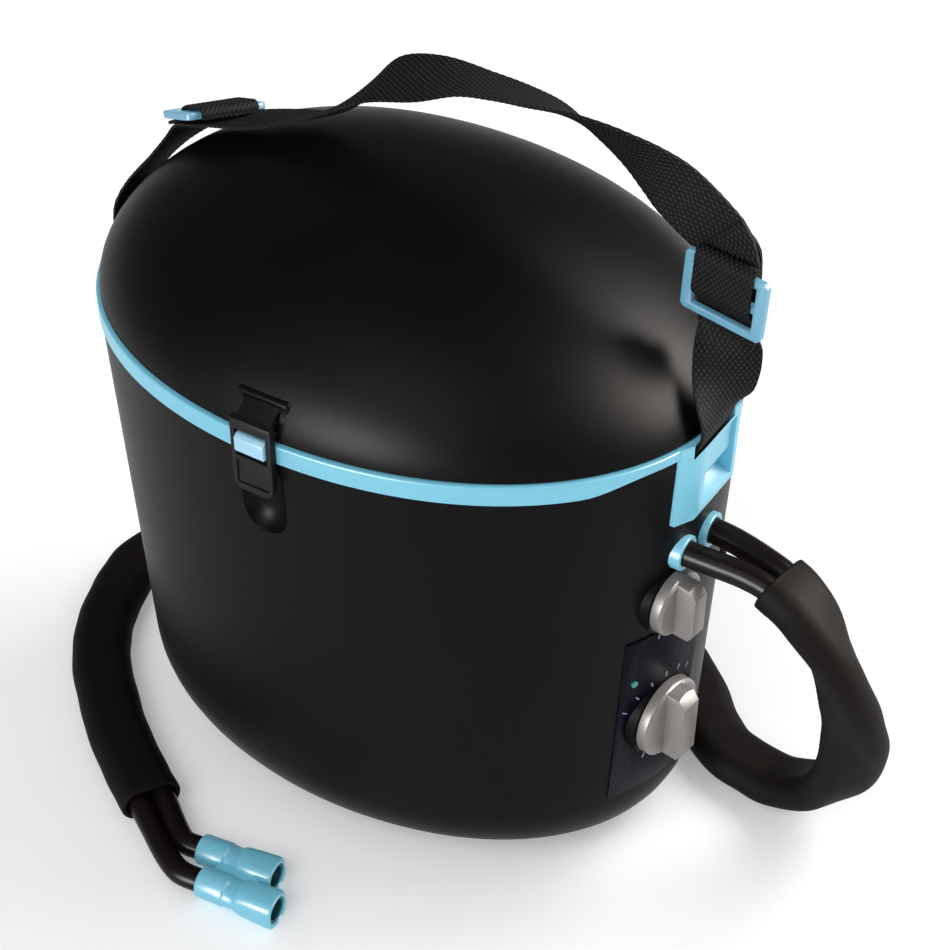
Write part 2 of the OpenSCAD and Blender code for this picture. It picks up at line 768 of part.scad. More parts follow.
// Circulating pump: round chamber below, motor can above
module pump_body() {
  color([0.14, 0.14, 0.16])
    difference() {
      union() {
        translate([pump_x, pump_y, tray_z])
          cylinder(r = 17, h = 21, $fn = 64);
        translate([pump_x, pump_y, tray_z + 20])
          cylinder(r = 14, h = 38, $fn = 64);
        translate([wall_back + 2, pump_y, suction_z])
          along_x(5.6, 12);
        translate([pump_x, pump_y - 25, suction_z])
          along_y(5.6, 14);
      }
      translate([pump_x, pump_y, tray_z + 5])
        cylinder(r = 13.5, h = 12.5, $fn = 64);
      translate([pump_x, pump_y, tray_z + 5])
        cylinder(r = 2 + running, h = 25, $fn = 64);
      translate([wall_back, pump_y, suction_z])
        along_x(4.2 + running, 7.8);
      translate([wall_back, pump_y, suction_z])
        along_x(3.2, 14);
      translate([pump_x, pump_y - 30, suction_z])
        along_y(4.2 + running, 11);
      translate([pump_x, pump_y - 30, suction_z])
        along_y(3.2, 20);
    }
}

// Six-bladed impeller on the motor shaft
module pump_impeller() {
  color([0.8, 0.8, 0.78])
    translate([pump_x, pump_y, tray_z + 5]) {
      translate([0, 0, 0.6])
        cylinder(r = 2, h = 22, $fn = 64);
      translate([0, 0, 0.6])
        cylinder(r = 12.4, h = 1.8, $fn = 64);
      for (a = [0:60:300])
        rotate([0, 0, a])
          block([1, -0.7, 1], [12, 0.7, 11.4]);
    }
}

// Heating and cooling block with fins, on the bay wall
module heater_block() {
  color([0.66, 0.68, 0.7]) {
    block([wall_back, 7, 112], [wall_back + 7, 47, 166]);
    for (i = [0:7])
      block([wall_back + 6, 7 + i * 5.4, 112], [wall_back + 19, 9.2 + i * 5.4, 166]);
  }
}

// Tube from the pump up to the near port
module supply_tube() {
  color([0.85, 0.87, 0.88])
    tube([[pump_x, pump_y - 19.2, suction_z], [pump_x, pump_y - 27, suction_z], [100, -9, 54],
      [95, -16, 60], [91, port_near, 72],
      [91, port_near, 100], [91, port_near, port_z - 24], [93, port_near, port_z - 12],
        [98, port_near, port_z - 3],
        [105, port_near, port_z],
      [112, port_near, port_z]], 4.1, 8);
}

// Tube from the strainer in the reservoir to the pump
module suction_tube() {
  color([0.85, 0.87, 0.88])
    translate([bay_x - 9, pump_y, suction_z])
      along_x(4.2, wall_back + 7.6 - bay_x + 9);
}

// Tube from the far port back to the top of the reservoir
module return_tube() {
  color([0.85, 0.87, 0.88])
    tube([[112, port_far, port_z], [107, port_far, port_z], [101, port_far, port_z + 4],
      [96, port_far, port_z + 12],
      [91, port_far, return_z - 2], [86, port_far, return_z], [76, port_far, return_z],
        [64, port_far, return_z]], 4.1, 8);
}

// Slotted strainer cap over the suction tube in the reservoir
module strainer() {
  color([0.3, 0.32, 0.34])
    difference() {
      translate([bay_x - 18, pump_y, suction_z])
        along_x(7, 12);
      translate([bay_x - 16, pump_y, suction_z])
        along_x(4.2 + running, 20);
      for (x = [-16, -13.5])
        block([bay_x + x, pump_y - 3.4, suction_z - 10], [bay_x + x + 1.2, pump_y + 3.4, suction_z + 10]);
    }
}

// Socket for the direct-current supply, in the end wall behind the hoses
module power_socket() {
  color([0.1, 0.1, 0.1])
    at_power()
      difference() {
        union() {
          translate([-12, 0, 0])
            along_x(5.5, 13.6);
          translate([1.4, 0, 0])
            along_x(7, 1.5);
                translate([-9, 0, 0])
            rotate([0, 90, 0])
              cylinder(r = 7.6, h = 3, $fn = 6);
        }
        translate([-8, 0, 0])
          along_x(power_bore, 20);
      }
}

// Knuckles of a hinge leaf: numbers of the fifths of the hinge that belong to it
module knuckles(which) {
  fifth = hinge_length / 5;
  for (k = which)
    translate([-hinge_length / 2 + k * fifth + 0.1, pin_y, band_top])
      along_x(knuckle_radius, fifth - 0.2);
}

module knuckle_space(which) {
  fifth = hinge_length / 5;
  for (k = which)
    translate([-hinge_length / 2 + k * fifth - 0.1, pin_y, band_top])
      along_x(knuckle_radius + 0.4, fifth + 0.2);
}

module hinge_body_leaf() {
  color([0.08, 0.08, 0.085])
    difference() {
      union() {
        difference() {
          union() {
            block([-hinge_length / 2, half_b + 0.9, tub_height - 14.5],
              [hinge_length / 2, half_b + 3.2, tub_height - 0.5]);
            block([-hinge_length / 2, half_b + 1.1, tub_height - 1],
              [hinge_length / 2, half_b + 3.2, band_top - 0.5]);
          }
          knuckle_space([1, 3]);
        }
        knuckles([0, 2, 4]);
      }
      translate([-50, pin_y, band_top])
        along_x(hinge_pin_radius + running, 100);
      for (x = [-12, 0, 12])
        translate([x, half_b - 8, tub_height - 9])
          along_y(1.6 + running, 20);
    }
}

module hinge_lid_leaf() {
  color([0.08, 0.08, 0.085])
    difference() {
      union() {
        difference() {
          block([-hinge_length / 2, half_b + 1.1, band_top + 1.2],
            [hinge_length / 2, half_b + 3.2, band_top + 14]);
          knuckle_space([0, 2, 4]);
        }
        knuckles([1, 3]);
      }
      translate([-50, pin_y, band_top])
        along_x(hinge_pin_radius + running, 100);
    }
}

module hinge_pin() {
  color([0.65, 0.65, 0.67])
    translate([-hinge_length / 2 - 1, pin_y, band_top])
      along_x(hinge_pin_radius, hinge_length + 2);
}

// Three pan-head screws through the lower hinge leaf
module hinge_screws() {
  color([0.65, 0.65, 0.67])
    for (x = [-12, 0, 12])
      translate([x, half_b - 6, tub_height - 9]) {
        along_y(1.6, 9.2);
        translate([0, 9.2, 0])
          difference() {
            along_y(3, 1.6);
            block([-2, 0.9, -0.35], [2, 3, 0.35]);
            block([-0.35, 0.9, -2], [0.35, 3, 2]);
          }
      }
}

// Domed outer lid with ears for the latch pin and a boss for the hinge
module lid_shell() {
  color([0.04, 0.04, 0.045])
    difference() {
      union() {
        skin(concat([for (t = [84, 70, 54, 37, 19, 0])
            dome_ring(lid_inset + lid_wall, lid_height - lid_wall, lid_base, t)],
          [for (t = [0, 10, 21, 32, 43, 54, 64, 73, 80, 86])
            dome_ring(lid_inset, lid_height - gap, lid_base, t)]));
        translate([-12.5, 0, 0])
          rotate([90, 0, 90])
            linear_extrude(25)
              polygon([[-half_b + 3.5, band_top + 4.3], [-half_b + 10.9, band_top + 4.3],
                [-half_b + 10.9, band_top + 17.5], [-half_b + 8.6, band_top + 17.5],
                  [-half_b + 4.4, band_top + 8]]);
        translate([-hinge_length / 2 - 2, 0, 0])
          rotate([90, 0, 90])
            linear_extrude(hinge_length + 4)
              polygon([[half_b - 2.5, band_top + 1.4], [half_b + 1.1, band_top + 1.4],
                [half_b + 1.1, band_top + 14], [half_b - 4.5, band_top + 19.5],
                  [half_b - 8.6, band_top + 19.5]]);
      }
      block([-latch_width / 2 + 0.8, -half_b - 10, band_top + 4.8],
        [latch_width / 2 - 0.8, latch_pin_y + 3.1, band_top + 15]);
      translate([-12.3, latch_pin_y, latch_pin_z])
        along_x(latch_pin_radius + running, 24.6);
    }
}

// Inner skin of the lid, with a flange that carries the gasket
module lid_liner() {
  color([0.86, 0.88, 0.88])
    skin(concat([for (t = [82, 62, 42, 20, 0])
        dome_ring(lid_inset + 13.3, lid_height - 13.2, band_top + 2, t)],
      [ring(band_top + 2, 5.3), ring(band_top + 4, 7.6)],
      [for (t = [2, 20, 42, 62, 82])
        dome_ring(lid_inset + 11.5, lid_height - 11.4, band_top + 2, t)]));
}

// Insulation inside the lid
module lid_foam() {
  color([0.93, 0.88, 0.66])
    difference() {
      skin(concat([for (t = [82, 62, 42, 20, 4.5])
          dome_ring(lid_inset + 10.4, lid_height - 10.8, band_top + 2.2, t)],
        [for (t = [6.5, 20, 42, 62, 82])
          dome_ring(lid_inset + lid_wall + 1.9, lid_height - lid_wall - 2.1, lid_base, t)]));
      block([-13, -half_b, band_top], [13, -half_b + 11.6, band_top + 18.2]);
      block([-hinge_length / 2 - 2.5, half_b - 9.6, band_top],
        [hinge_length / 2 + 2.5, half_b + 5, band_top + 20.5]);
    }
}

// Soft seal between the lid and the rim band
module lid_gasket() {
  color([0.15, 0.15, 0.15])
    hoop([ring(band_top + 0.05, 5.4), ring(band_top + 2, 5.4), ring(band_top + 2, 9.2),
      ring(band_top + 0.05, 9.2)]);
}

module latch_pin() {
  color([0.65, 0.65, 0.67])
    translate([-12, latch_pin_y, latch_pin_z])
      along_x(latch_pin_radius, 24);
}

// Pull-down latch: hub on its pin, window for the lug, tab below
module latch_flap() {
  half = latch_width / 2;
  color([0.06, 0.06, 0.065])
    difference() {
      union() {
        block([-half, -plate_front, latch_bottom + 5], [half, -plate_back, band_top + 9]);
        block([-half + 5, -plate_front, latch_bottom], [half - 5, -plate_back, latch_bottom + 6]);
        for (s = [-1, 1])
          translate([s * (half - 5), -plate_front, latch_bottom + 5])
            along_y(5, latch_thickness);
        translate([-half + 1.4, 0, 0])
          rotate([90, 0, 90])
            linear_extrude(latch_width - 2.8)
              polygon([[latch_pin_y + 1, latch_pin_z - 2.2], [-plate_back - 0.2, band_top + 5.4],
                [-plate_back - 0.2, band_top + 9], [latch_pin_y - 1.4, latch_pin_z + 2.2]]);
        translate([-half + 1.4, latch_pin_y, latch_pin_z])
          along_x(2.6, latch_width - 2.8);
      }
      block([-half + latch_bar, -plate_front - 5, band_top - 8],
        [half - latch_bar, -plate_back + 0.3, band_top + 4.4]);
      block([-half + latch_bar, -plate_front - 5, latch_bottom + 3],
        [half - latch_bar, -plate_front + 0.8, band_top - 10]);
      translate([-30, latch_pin_y, latch_pin_z])
        along_x(latch_pin_radius + running, 60);
    }
}

// Stations of the carry strap, from the right anchor over the lid to the left one
strap_route = [
  [130.5, -7.5, 220.4, 0, 1, 0], [130.5, -7.5, 214, 0, 1, 0], [131.48, -7.5, 211.63, 0, 1, 0],
  [133.85, -7.5, 210.65, 0, 1, 0], [136.22, -7.5, 211.63, 0, 1, 0], [137.1, -7.5, 214, 0, 1, 0],
  [137.1, -7.5, 218, 0, 1, 0], [139, -7.5, 222.5, 0, 1, 0], [141, -7.5, 227.5, 0, 1, 0],
  [142, -7.5, 234, 0.1, 1, 0], [142, -6.5, 241, 0.45, 0.9, 0], [141, -4, 249, 0.75, 0.66, 0],
  [140, -2, 257, 0.93, 0.36, 0], [138.8, -0.6, 267, 0.99, -0.1, 0],
  [138, -0.6, 284, 0.985, -0.17, 0], [137, -0.4, 295.5, 0.985, -0.15, 0.02],
  [135.6, 0, 300.5, 0.97, -0.1, 0.15], [132, -1, 304.5, 0.9, 0, 0.4],
  [124, -2.5, 311.5, 0.7, 0, 0.7], [114, -3, 318.5, 0.55, -0.05, 0.8],
  [105, -3, 323.5, 0.4, -0.25, 0.85], [96, -3, 327.5, 0.3, -0.45, 0.8],
  [86, -3, 331, 0.15, -0.62, 0.75], [74, -3, 334, 0.05, -0.78, 0.6],
  [60, -2, 335.5, 0, -0.92, 0.35], [45, -1, 335.5, 0, -0.97, 0.22], [28, 0, 334, 0, -1, 0.07],
  [8, 0, 330.5, 0, -0.95, -0.3], [-10, 0, 325.5, 0, -0.94, -0.33], [-22, 0, 317, 0, -0.98, -0.1],
  [-32, 0, 307.5, 0, -0.95, 0.25], [-44, 0.5, 299.5, 0, -0.95, 0.3], [-58, 1, 294.5, 0, -0.97, 0.2],
  [-72, 0.5, 290, -0.1, -1, 0.1], [-85, -0.5, 286.5, -0.25, -0.95, 0.1],
  [-97.2, 0.3, 281.7, -0.39, -0.91, 0.14], [-109, 6, 275.8, -0.39, -0.91, 0.14],
  [-119, 9, 267.5, -0.3, -0.95, 0.05], [-130, 6.5, 256.5, -0.1, -1, 0],
  [-137.5, 1, 246.5, 0, -1, 0], [-141.3, -5, 236, 0, -1, 0], [-141, -7.5, 227.5, 0, -1, 0],
  [-139, -7.5, 222.5, 0, -1, 0], [-137.1, -7.5, 218, 0, -1, 0], [-137.1, -7.5, 214, 0, -1, 0],
  [-136.22, -7.5, 211.63, 0, -1, 0], [-133.85, -7.5, 210.65, 0, -1, 0],
  [-131.48, -7.5, 211.63, 0, -1, 0], [-130.5, -7.5, 214, 0, -1, 0], [-130.5, -7.5, 220.4, 0, -1, 0]];
// The strap's ends keep to the anchors, and its arch rises with the lid
function strap_move(p) = [sgn(p[0]) * (half_a - 140) * min(abs(p[0]) / 130, 1),
  (anchor_y + 7.5) * min(abs(p[0]) / 130, 1),
  band_top - 227 + (lid_height - 66) * max(min((p[2] - 227) / 40, 1), 0)];
strap_path = [for (p = strap_route) let (m = strap_move(p))
  [p[0] + m[0], p[1] + m[1], p[2] + m[2], p[3], p[4], p[5]]];
// Webbing woven through an adjuster, in the adjuster's own frame
weave = [[-19, 0, -4.5, 0, 1, 0], [-15, 0, -4, 0, 1, 0], [-11.5, 0, -3, 0, 1, 0],
  [-9.2, 0, -2.6, 0, 1, 0],
  [-5.9, 0, -0.7, 0, 1, 0], [-3, 0, 2, 0, 1, 0], [-0.8, 0, 2.75, 0, 1, 0], [3, 0, 2.75, 0, 1, 0],
  [9, 0, 2.75, 0, 1, 0], [13.2, 0, 2.7, 0, 1, 0], [14.9, 0, 1.6, 0, 1, 0], [15.6, 0, 0, 0, 1, 0],
  [14.9, 0, -1.3, 0, 1, 0]];
// Cut end of the webbing that stands up behind the right adjuster
cut_route = [[137.8, -2.5, 286, 0.985, -0.17, 0], [137.4, -2.6, 292, 0.985, -0.17, 0],
  [136.8, -2.4, 298.5, 0.985, -0.16, 0.02], [134.6, -2.5, 303.5, 0.96, -0.1, 0.2],
  [132.2, -2.9, 306, 0.9, 0, 0.4]];
cut_end = [for (p = cut_route) let (m = strap_move(p))
  [p[0] + m[0], p[1] + m[1], p[2] + m[2], p[3], p[4], p[5]]];
glide_right_at = [137.8, -5.3, 284.2];
glide_left_at = [-98.5, 1.5, 286];

module place_right() {
  translate(glide_right_at + strap_move(glide_right_at))
    rotate([0, 2, -10])
      rotate([0, -90, 90])
        children();
}

module place_left() {
  translate(glide_left_at + strap_move(glide_left_at))
    rotate([0, 0, -22.7])
      rotate([0, -21, 0])
        rotate([-8, 0, 0])
          children();
}

module strap_webbing() {
  color([0.05, 0.05, 0.06]) {
    skin(ribbon_rings(strap_path, strap_width, strap_thickness));
    skin(ribbon_rings(cut_end, strap_width, strap_thickness));
    place_right()
      skin(ribbon_rings(weave, strap_width, strap_thickness));
    place_left()
      skin(ribbon_rings(weave, strap_width, strap_thickness));
  }
}

// Three-bar strap adjuster lying in the XY plane, long side along Y
module glide() {
  h = glide_height / 2;
  l = glide_length / 2;
  slot = (glide_height - 9.6) / 4;
  difference() {
    union() {
      block([-h + 2.5, -l, -glide_thickness / 2], [h - 2.5, l, glide_thickness / 2]);
      block([-h, -l + 2.5, -glide_thickness / 2], [h, l - 2.5, glide_thickness / 2]);
      for (x = [-1, 1], y = [-1, 1])
        translate([x * (h - 2.5), y * (l - 2.5), -glide_thickness / 2])
          cylinder(r = 2.5, h = glide_thickness, $fn = 48);
    }
    for (s = [-1, 1])
      translate([s * (1.6 + slot), 0, 0])
        cube([2 * slot, strap_width + 1.6, 20], center = true);
  }
}

module strap_glide_right() {
  color([0.4, 0.68, 0.85])
    place_right()
      glide();
}

module strap_glide_left() {
  color([0.4, 0.68, 0.85])
    place_left()
      glide();
}

// Middle line of the twin hose, with the half distance between the two hoses
route = [[133, -9.5, 172, 0], [141, -9.5, 172, 0], [152, -10, 172, 0.8], [164, -11, 171.5, 2.4],
  [175, -12.5, 170, 3.4],
  [186, -14, 165, 3.4], [197, -12, 150, 3.4], [204, -6, 128, 3.4], [208, 2, 105, 3.4], [209, 11, 80, 3.4],
  [204, 21, 50, 3.4], [192, 30, 27, 3.4], [172, 35, 13, 3.4], [157, 38, 10.5, 3.4], [142, 42, 10, 3.4],
  [128, 52, 10, 3.4], [114, 67, 10, 3.4], [95, 83, 10, 3.4], [70, 100, 10, 3.4], [35, 113, 10, 3.4],
  [0, 118, 10, 3.4], [-40, 114, 10, 3.4], [-80, 101, 10, 3.4], [-115, 82, 10, 3.4], [-145, 55, 10, 3.4],
  [-162, 28, 10, 3.4], [-169, 1, 10, 3.4], [-167, -15, 10, 3.4], [-162, -30, 10, 3.4],
    [-155, -46, 10, 3.4],
  [-146, -60, 10, 3.4], [-134, -74, 10, 3.4], [-119, -87, 10, 3.4], [-103, -100, 10, 3.4],
    [-85, -112, 10, 3.4],
  [-70, -121, 10, 3.4], [-60, -126.5, 10, 3.4]];
middle = [for (p = route) [p[0], p[1] + (p[0] > 132 && p[1] < 0 && p[2] > 160 ? port_y + 9.5 : 0), p[2]]];
pair_half = hose_radius + 0.3;
function spread(j) = port_pitch / 2 + (pair_half - port_pitch / 2) * route[j][3] / 3.4;
function hose_path(side) = [for (j = [0:len(middle) - 1]) middle[j]
  + side * spread(j) * level_side(heading(middle, j))];
supply_end = [[-50, -138.5, 9.4], [-38, -145.3, 8.6], [-28, -149.8, 8.2], [-22, -150.6, 8],
  [-14, -149.5, 8]];
return_end = [[-47, -128.5, 9.4], [-39, -133.6, 8.5], [-33, -136.1, 8], [-25, -135, 8]];

module supply_hose() {
  color([0.1, 0.08, 0.075])
    tube(concat(hose_path(-1), supply_end), hose_radius, 8);
}

module return_hose() {
  color([0.1, 0.08, 0.075])
    tube(concat(hose_path(1), return_end), hose_radius, 8);
}

// Foam sleeve round both hoses
module hose_sleeve() {
  part = [for (j = [4:len(middle) - 1]) middle[j]];
  outer = swept(part, stadium_section(pair_half, hose_radius + sleeve_gap + sleeve_wall));
  inner = swept(part, stadium_section(pair_half, hose_radius + sleeve_gap));
  color([0.07, 0.065, 0.06])
    hoop(concat(outer, [for (j = [len(part) - 1:-1:0]) inner[j]]));
}

// One barrel of the coupling, along +X from its hose end
module barrel() {
  along_x(6.3, 1.2);
  translate([1, 0, 0])
    along_x(6.9, barrel_length - socket_depth - 7);
  translate([barrel_length - socket_depth - 7, 0, 0])
    along_x(6, 4);
  translate([barrel_length - socket_depth - 3.5, 0, 0])
    along_x(socket_radius - 0.4, 3.5);
  translate([barrel_length - socket_depth - 1, 0, 0])
    along_x(socket_radius, socket_depth + 1);
}

// Two barrels side by side joined by a web
module coupling_body() {
  color([0.4, 0.75, 0.88])
    difference() {
      union() {
        translate([-25, -135, 8])
          rotate([0, 0, coupling_yaw])
            barrel();
        translate([-14, -149.5, 8])
          rotate([0, 0, coupling_yaw])
            barrel();
        translate([-19, -134.2, 8])
          rotate([0, 0, coupling_yaw])
            block([5, -12, -3.2], [24, 0, 3.2]);
      }
      for (p = [[-25, -135, 8], [-14, -149.5, 8]])
        translate(p)
          rotate([0, 0, coupling_yaw])
            translate([barrel_length - socket_depth, 0, 0])
              along_x(socket_bore + 1.1 + running, 30);
      translate([-19, -134.2, 8])
        rotate([0, 0, coupling_yaw])
          block([11, -9.2, 1.6], [18, -6.4, 8]);
    }
}

// Darker inner sleeves of the two sockets
module coupling_sockets() {
  color([0.08, 0.3, 0.34])
    for (p = [[-25, -135, 8], [-14, -149.5, 8]])
      translate(p)
        rotate([0, 0, coupling_yaw])
          translate([barrel_length - socket_depth, 0, 0])
            difference() {
              along_x(socket_bore + 1.1, socket_depth - 1);
              translate([1, 0, 0])
                along_x(socket_bore, 30);
            }
}

body_shell();
base_pad();
rim_band();
latch_keeper();
anchor_right();
anchor_left();
anchor_bars();
port_collars();
port_fittings();
reservoir_liner();
insulation_foam();
bay_wall();
equipment_tray();
bay_deck();
deck_screws();
control_label();
power_light();
upper_control();
lower_control();
control_board();
pump_body();
pump_impeller();
heater_block();
supply_tube();
suction_tube();
return_tube();
strainer();
power_socket();
hinge_body_leaf();
hinge_pin();
hinge_screws();
lid_shell();
lid_liner();
lid_foam();
lid_gasket();
hinge_lid_leaf();
latch_pin();
latch_flap();
upper_knob();
upper_shaft();
lower_knob();
lower_shaft();
strap_webbing();
strap_glide_right();
strap_glide_left();
supply_hose();
return_hose();
hose_sleeve();
coupling_body();
coupling_sockets();
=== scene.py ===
import math

import bpy
from mathutils import Matrix, Vector


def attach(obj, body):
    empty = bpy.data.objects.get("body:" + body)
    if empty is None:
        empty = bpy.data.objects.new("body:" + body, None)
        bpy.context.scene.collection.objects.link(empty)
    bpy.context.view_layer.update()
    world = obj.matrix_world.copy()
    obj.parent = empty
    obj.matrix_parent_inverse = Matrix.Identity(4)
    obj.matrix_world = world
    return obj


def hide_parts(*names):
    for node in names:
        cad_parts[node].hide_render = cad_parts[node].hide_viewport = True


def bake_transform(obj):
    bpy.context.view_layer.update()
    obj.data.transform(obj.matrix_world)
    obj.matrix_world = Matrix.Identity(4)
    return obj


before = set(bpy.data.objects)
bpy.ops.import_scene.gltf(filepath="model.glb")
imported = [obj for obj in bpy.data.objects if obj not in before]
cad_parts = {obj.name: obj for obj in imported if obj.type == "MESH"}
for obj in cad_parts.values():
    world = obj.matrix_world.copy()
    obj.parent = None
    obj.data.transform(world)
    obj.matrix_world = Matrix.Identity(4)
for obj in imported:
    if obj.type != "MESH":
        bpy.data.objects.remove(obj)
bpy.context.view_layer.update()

# Viewpoint of the product picture: a long lens from the front right, well above the lid,
# with the machine a little left of the frame's middle.
FRAME_PIXELS = 950
LENS_PIXELS = 2000
MIDDLE_ACROSS = 416.63
MIDDLE_DOWN = 506.93
SENSOR_WIDTH = 36
CAMERA_PLACE = (0.3811, -0.5622, 0.6827)
CAMERA_AIM = Vector((0.0, 0.0, 0.12))
ROLL = -0.014
bpy.ops.object.camera_add(location=CAMERA_PLACE)
camera = bpy.context.object
camera.name = "picture_camera"
aim = CAMERA_AIM - camera.location
level = aim.cross(Vector((0, 0, 1))).normalized()
upright = level.cross(aim).normalized()
level, upright = (math.cos(ROLL) * level + math.sin(ROLL) * upright,
                  -math.sin(ROLL) * level + math.cos(ROLL) * upright)
camera.rotation_euler = Matrix((level, upright, -aim.normalized())).transposed().to_euler()
camera.data.sensor_width = SENSOR_WIDTH
camera.data.lens = SENSOR_WIDTH * LENS_PIXELS / FRAME_PIXELS
camera.data.shift_x = (FRAME_PIXELS / 2 - MIDDLE_ACROSS) / FRAME_PIXELS
camera.data.shift_y = (MIDDLE_DOWN - FRAME_PIXELS / 2) / FRAME_PIXELS
camera.data.clip_start = 0.01
bpy.context.scene.camera = camera

# Twin hoses: soft dark rubber, 10.6 mm outside. Each leaves its own port, they close up
# inside one sleeve, run round the back of the machine and part again at the coupling. The
# route's stations are in millimetres, each with how far the pair has closed up there.
MM = 0.001
HOSE_RADIUS = 5.3
HOSE_SIDES = 28
HOSE_STEPS = 5
PORT_PITCH = 18
PAIR_HALF = 5.6
CLOSED_UP = 3.4
ROUTE = [
    (133, -9.5, 172, 0), (141, -9.5, 172, 0), (152, -10, 172, 0.8), (164, -11, 171.5, 2.4),
    (175, -12.5, 170, 3.4), (186, -14, 165, 3.4), (197, -12, 150, 3.4), (204, -6, 128, 3.4),
    (208, 2, 105, 3.4), (209, 11, 80, 3.4), (204, 21, 50, 3.4), (192, 30, 27, 3.4),
    (172, 35, 13, 3.4), (157, 38, 10.5, 3.4), (142, 42, 10, 3.4), (128, 52, 10, 3.4),
    (114, 67, 10, 3.4), (95, 83, 10, 3.4), (70, 100, 10, 3.4), (35, 113, 10, 3.4),
    (0, 118, 10, 3.4), (-40, 114, 10, 3.4), (-80, 101, 10, 3.4), (-115, 82, 10, 3.4),
    (-145, 55, 10, 3.4), (-162, 28, 10, 3.4), (-169, 1, 10, 3.4), (-167, -15, 10, 3.4),
    (-162, -30, 10, 3.4), (-155, -46, 10, 3.4), (-146, -60, 10, 3.4), (-134, -74, 10, 3.4),
    (-119, -87, 10, 3.4), (-103, -100, 10, 3.4), (-85, -112, 10, 3.4), (-70, -121, 10, 3.4),
    (-60, -126.5, 10, 3.4)]
SUPPLY_END = [(-50, -138.5, 9.4), (-38, -145.3, 8.6), (-28, -149.8, 8.2), (-22, -150.6, 8),
              (-14, -149.5, 8)]
RETURN_END = [(-47, -128.5, 9.4), (-39, -133.6, 8.5), (-33, -136.1, 8), (-25, -135, 8)]


def only(piece):
    """Selects one piece and nothing else."""
    if bpy.context.mode != "OBJECT":
        bpy.ops.object.mode_set(mode="OBJECT")
    bpy.ops.object.select_all(action="DESELECT")
    piece.select_set(True)
    bpy.context.view_layer.objects.active = piece


def smooth_shaded(piece, degrees=32):
    """Shades a piece smooth, but for the edges that are sharper than an angle."""
    only(piece)
    bpy.ops.object.shade_smooth_by_angle(angle=math.radians(degrees))


def angles_round(count, start=0):
    """Evenly spaced angles once round a circle."""
    return [2 * math.pi * (k + start) / count for k in range(count)]


def flowing(points, steps):
    """A smooth line through points, with steps parts between each two."""
    points = [Vector(p) for p in points]
    line = []
    for j in range(len(points) - 1):
        a = points[max(j - 1, 0)]
        b, c = points[j], points[j + 1]
        d = points[min(j + 2, len(points) - 1)]
        for k in range(steps):
            t = k / steps
            line.append(0.5 * (2 * b + (c - a) * t + (2 * a - 5 * b + 4 * c - d) * t * t
                               + (3 * b - 3 * c + d - a) * t ** 3))
    return line + [points[-1]]


def heading(line, j):
    """The direction of a line at one of its points."""
    return (line[min(j + 1, len(line) - 1)] - line[max(j - 1, 0)]).normalized()


def level_side(direction):
    """The level direction to the left of another one."""
    return Vector((-direction.y, direction.x, 0)).normalized()


def formed(name, rows, ends=True):
    """A grid pulled into rows of millimetre points round a closed section, ends closed."""
    bpy.ops.object.select_all(action="DESELECT")
    bpy.ops.mesh.primitive_grid_add(x_subdivisions=len(rows[0]), y_subdivisions=len(rows) - 1,
                                    size=1)
    piece = bpy.context.object
    piece.name = piece.data.name = name
    points = [c * MM for row in rows for p in list(row) + [row[0]] for c in p]
    piece.data.vertices.foreach_set("co", points)
    bpy.ops.object.mode_set(mode="EDIT")
    bpy.ops.mesh.select_all(action="SELECT")
    bpy.ops.mesh.remove_doubles(threshold=1e-6)
    if ends:
        bpy.ops.mesh.fill_holes(sides=0)
    bpy.ops.mesh.select_all(action="SELECT")
    bpy.ops.mesh.normals_make_consistent(inside=False)
    bpy.ops.object.mode_set(mode="OBJECT")
    smooth_shaded(piece)
    return piece


def effect(name, inputs, outputs):
    """An empty shared effect, with its named inputs and outputs."""
    group = bpy.data.node_groups.new(name, "ShaderNodeTree")
    for label, kind, value in inputs:
        socket = group.interface.new_socket(label, in_out="INPUT", socket_type=kind)
        socket.default_value = value
    for label, kind in outputs:
        group.interface.new_socket(label, in_out="OUTPUT", socket_type=kind)
    return group, group.nodes.new("NodeGroupInput"), group.nodes.new("NodeGroupOutput")


def math_node(tree, operation, a, b=None, c=None):
    """A calculation on numbers or sockets, added to a node tree."""
    node = tree.nodes.new("ShaderNodeMath")
    node.operation = operation
    for socket, value in zip(node.inputs, (a, b, c)):
        if value is None:
            continue
        if isinstance(value, (int, float)):
            socket.default_value = value
        else:
            tree.links.new(value, socket)
    return node.outputs[0]


COLOUR = "NodeSocketColor"
NUMBER = "NodeSocketFloat"
VECTOR = "NodeSocketVector"
BROAD_SCALE = 18
GLOSS_SWING = 0.3
GRAIN_HEIGHT = 0.0001


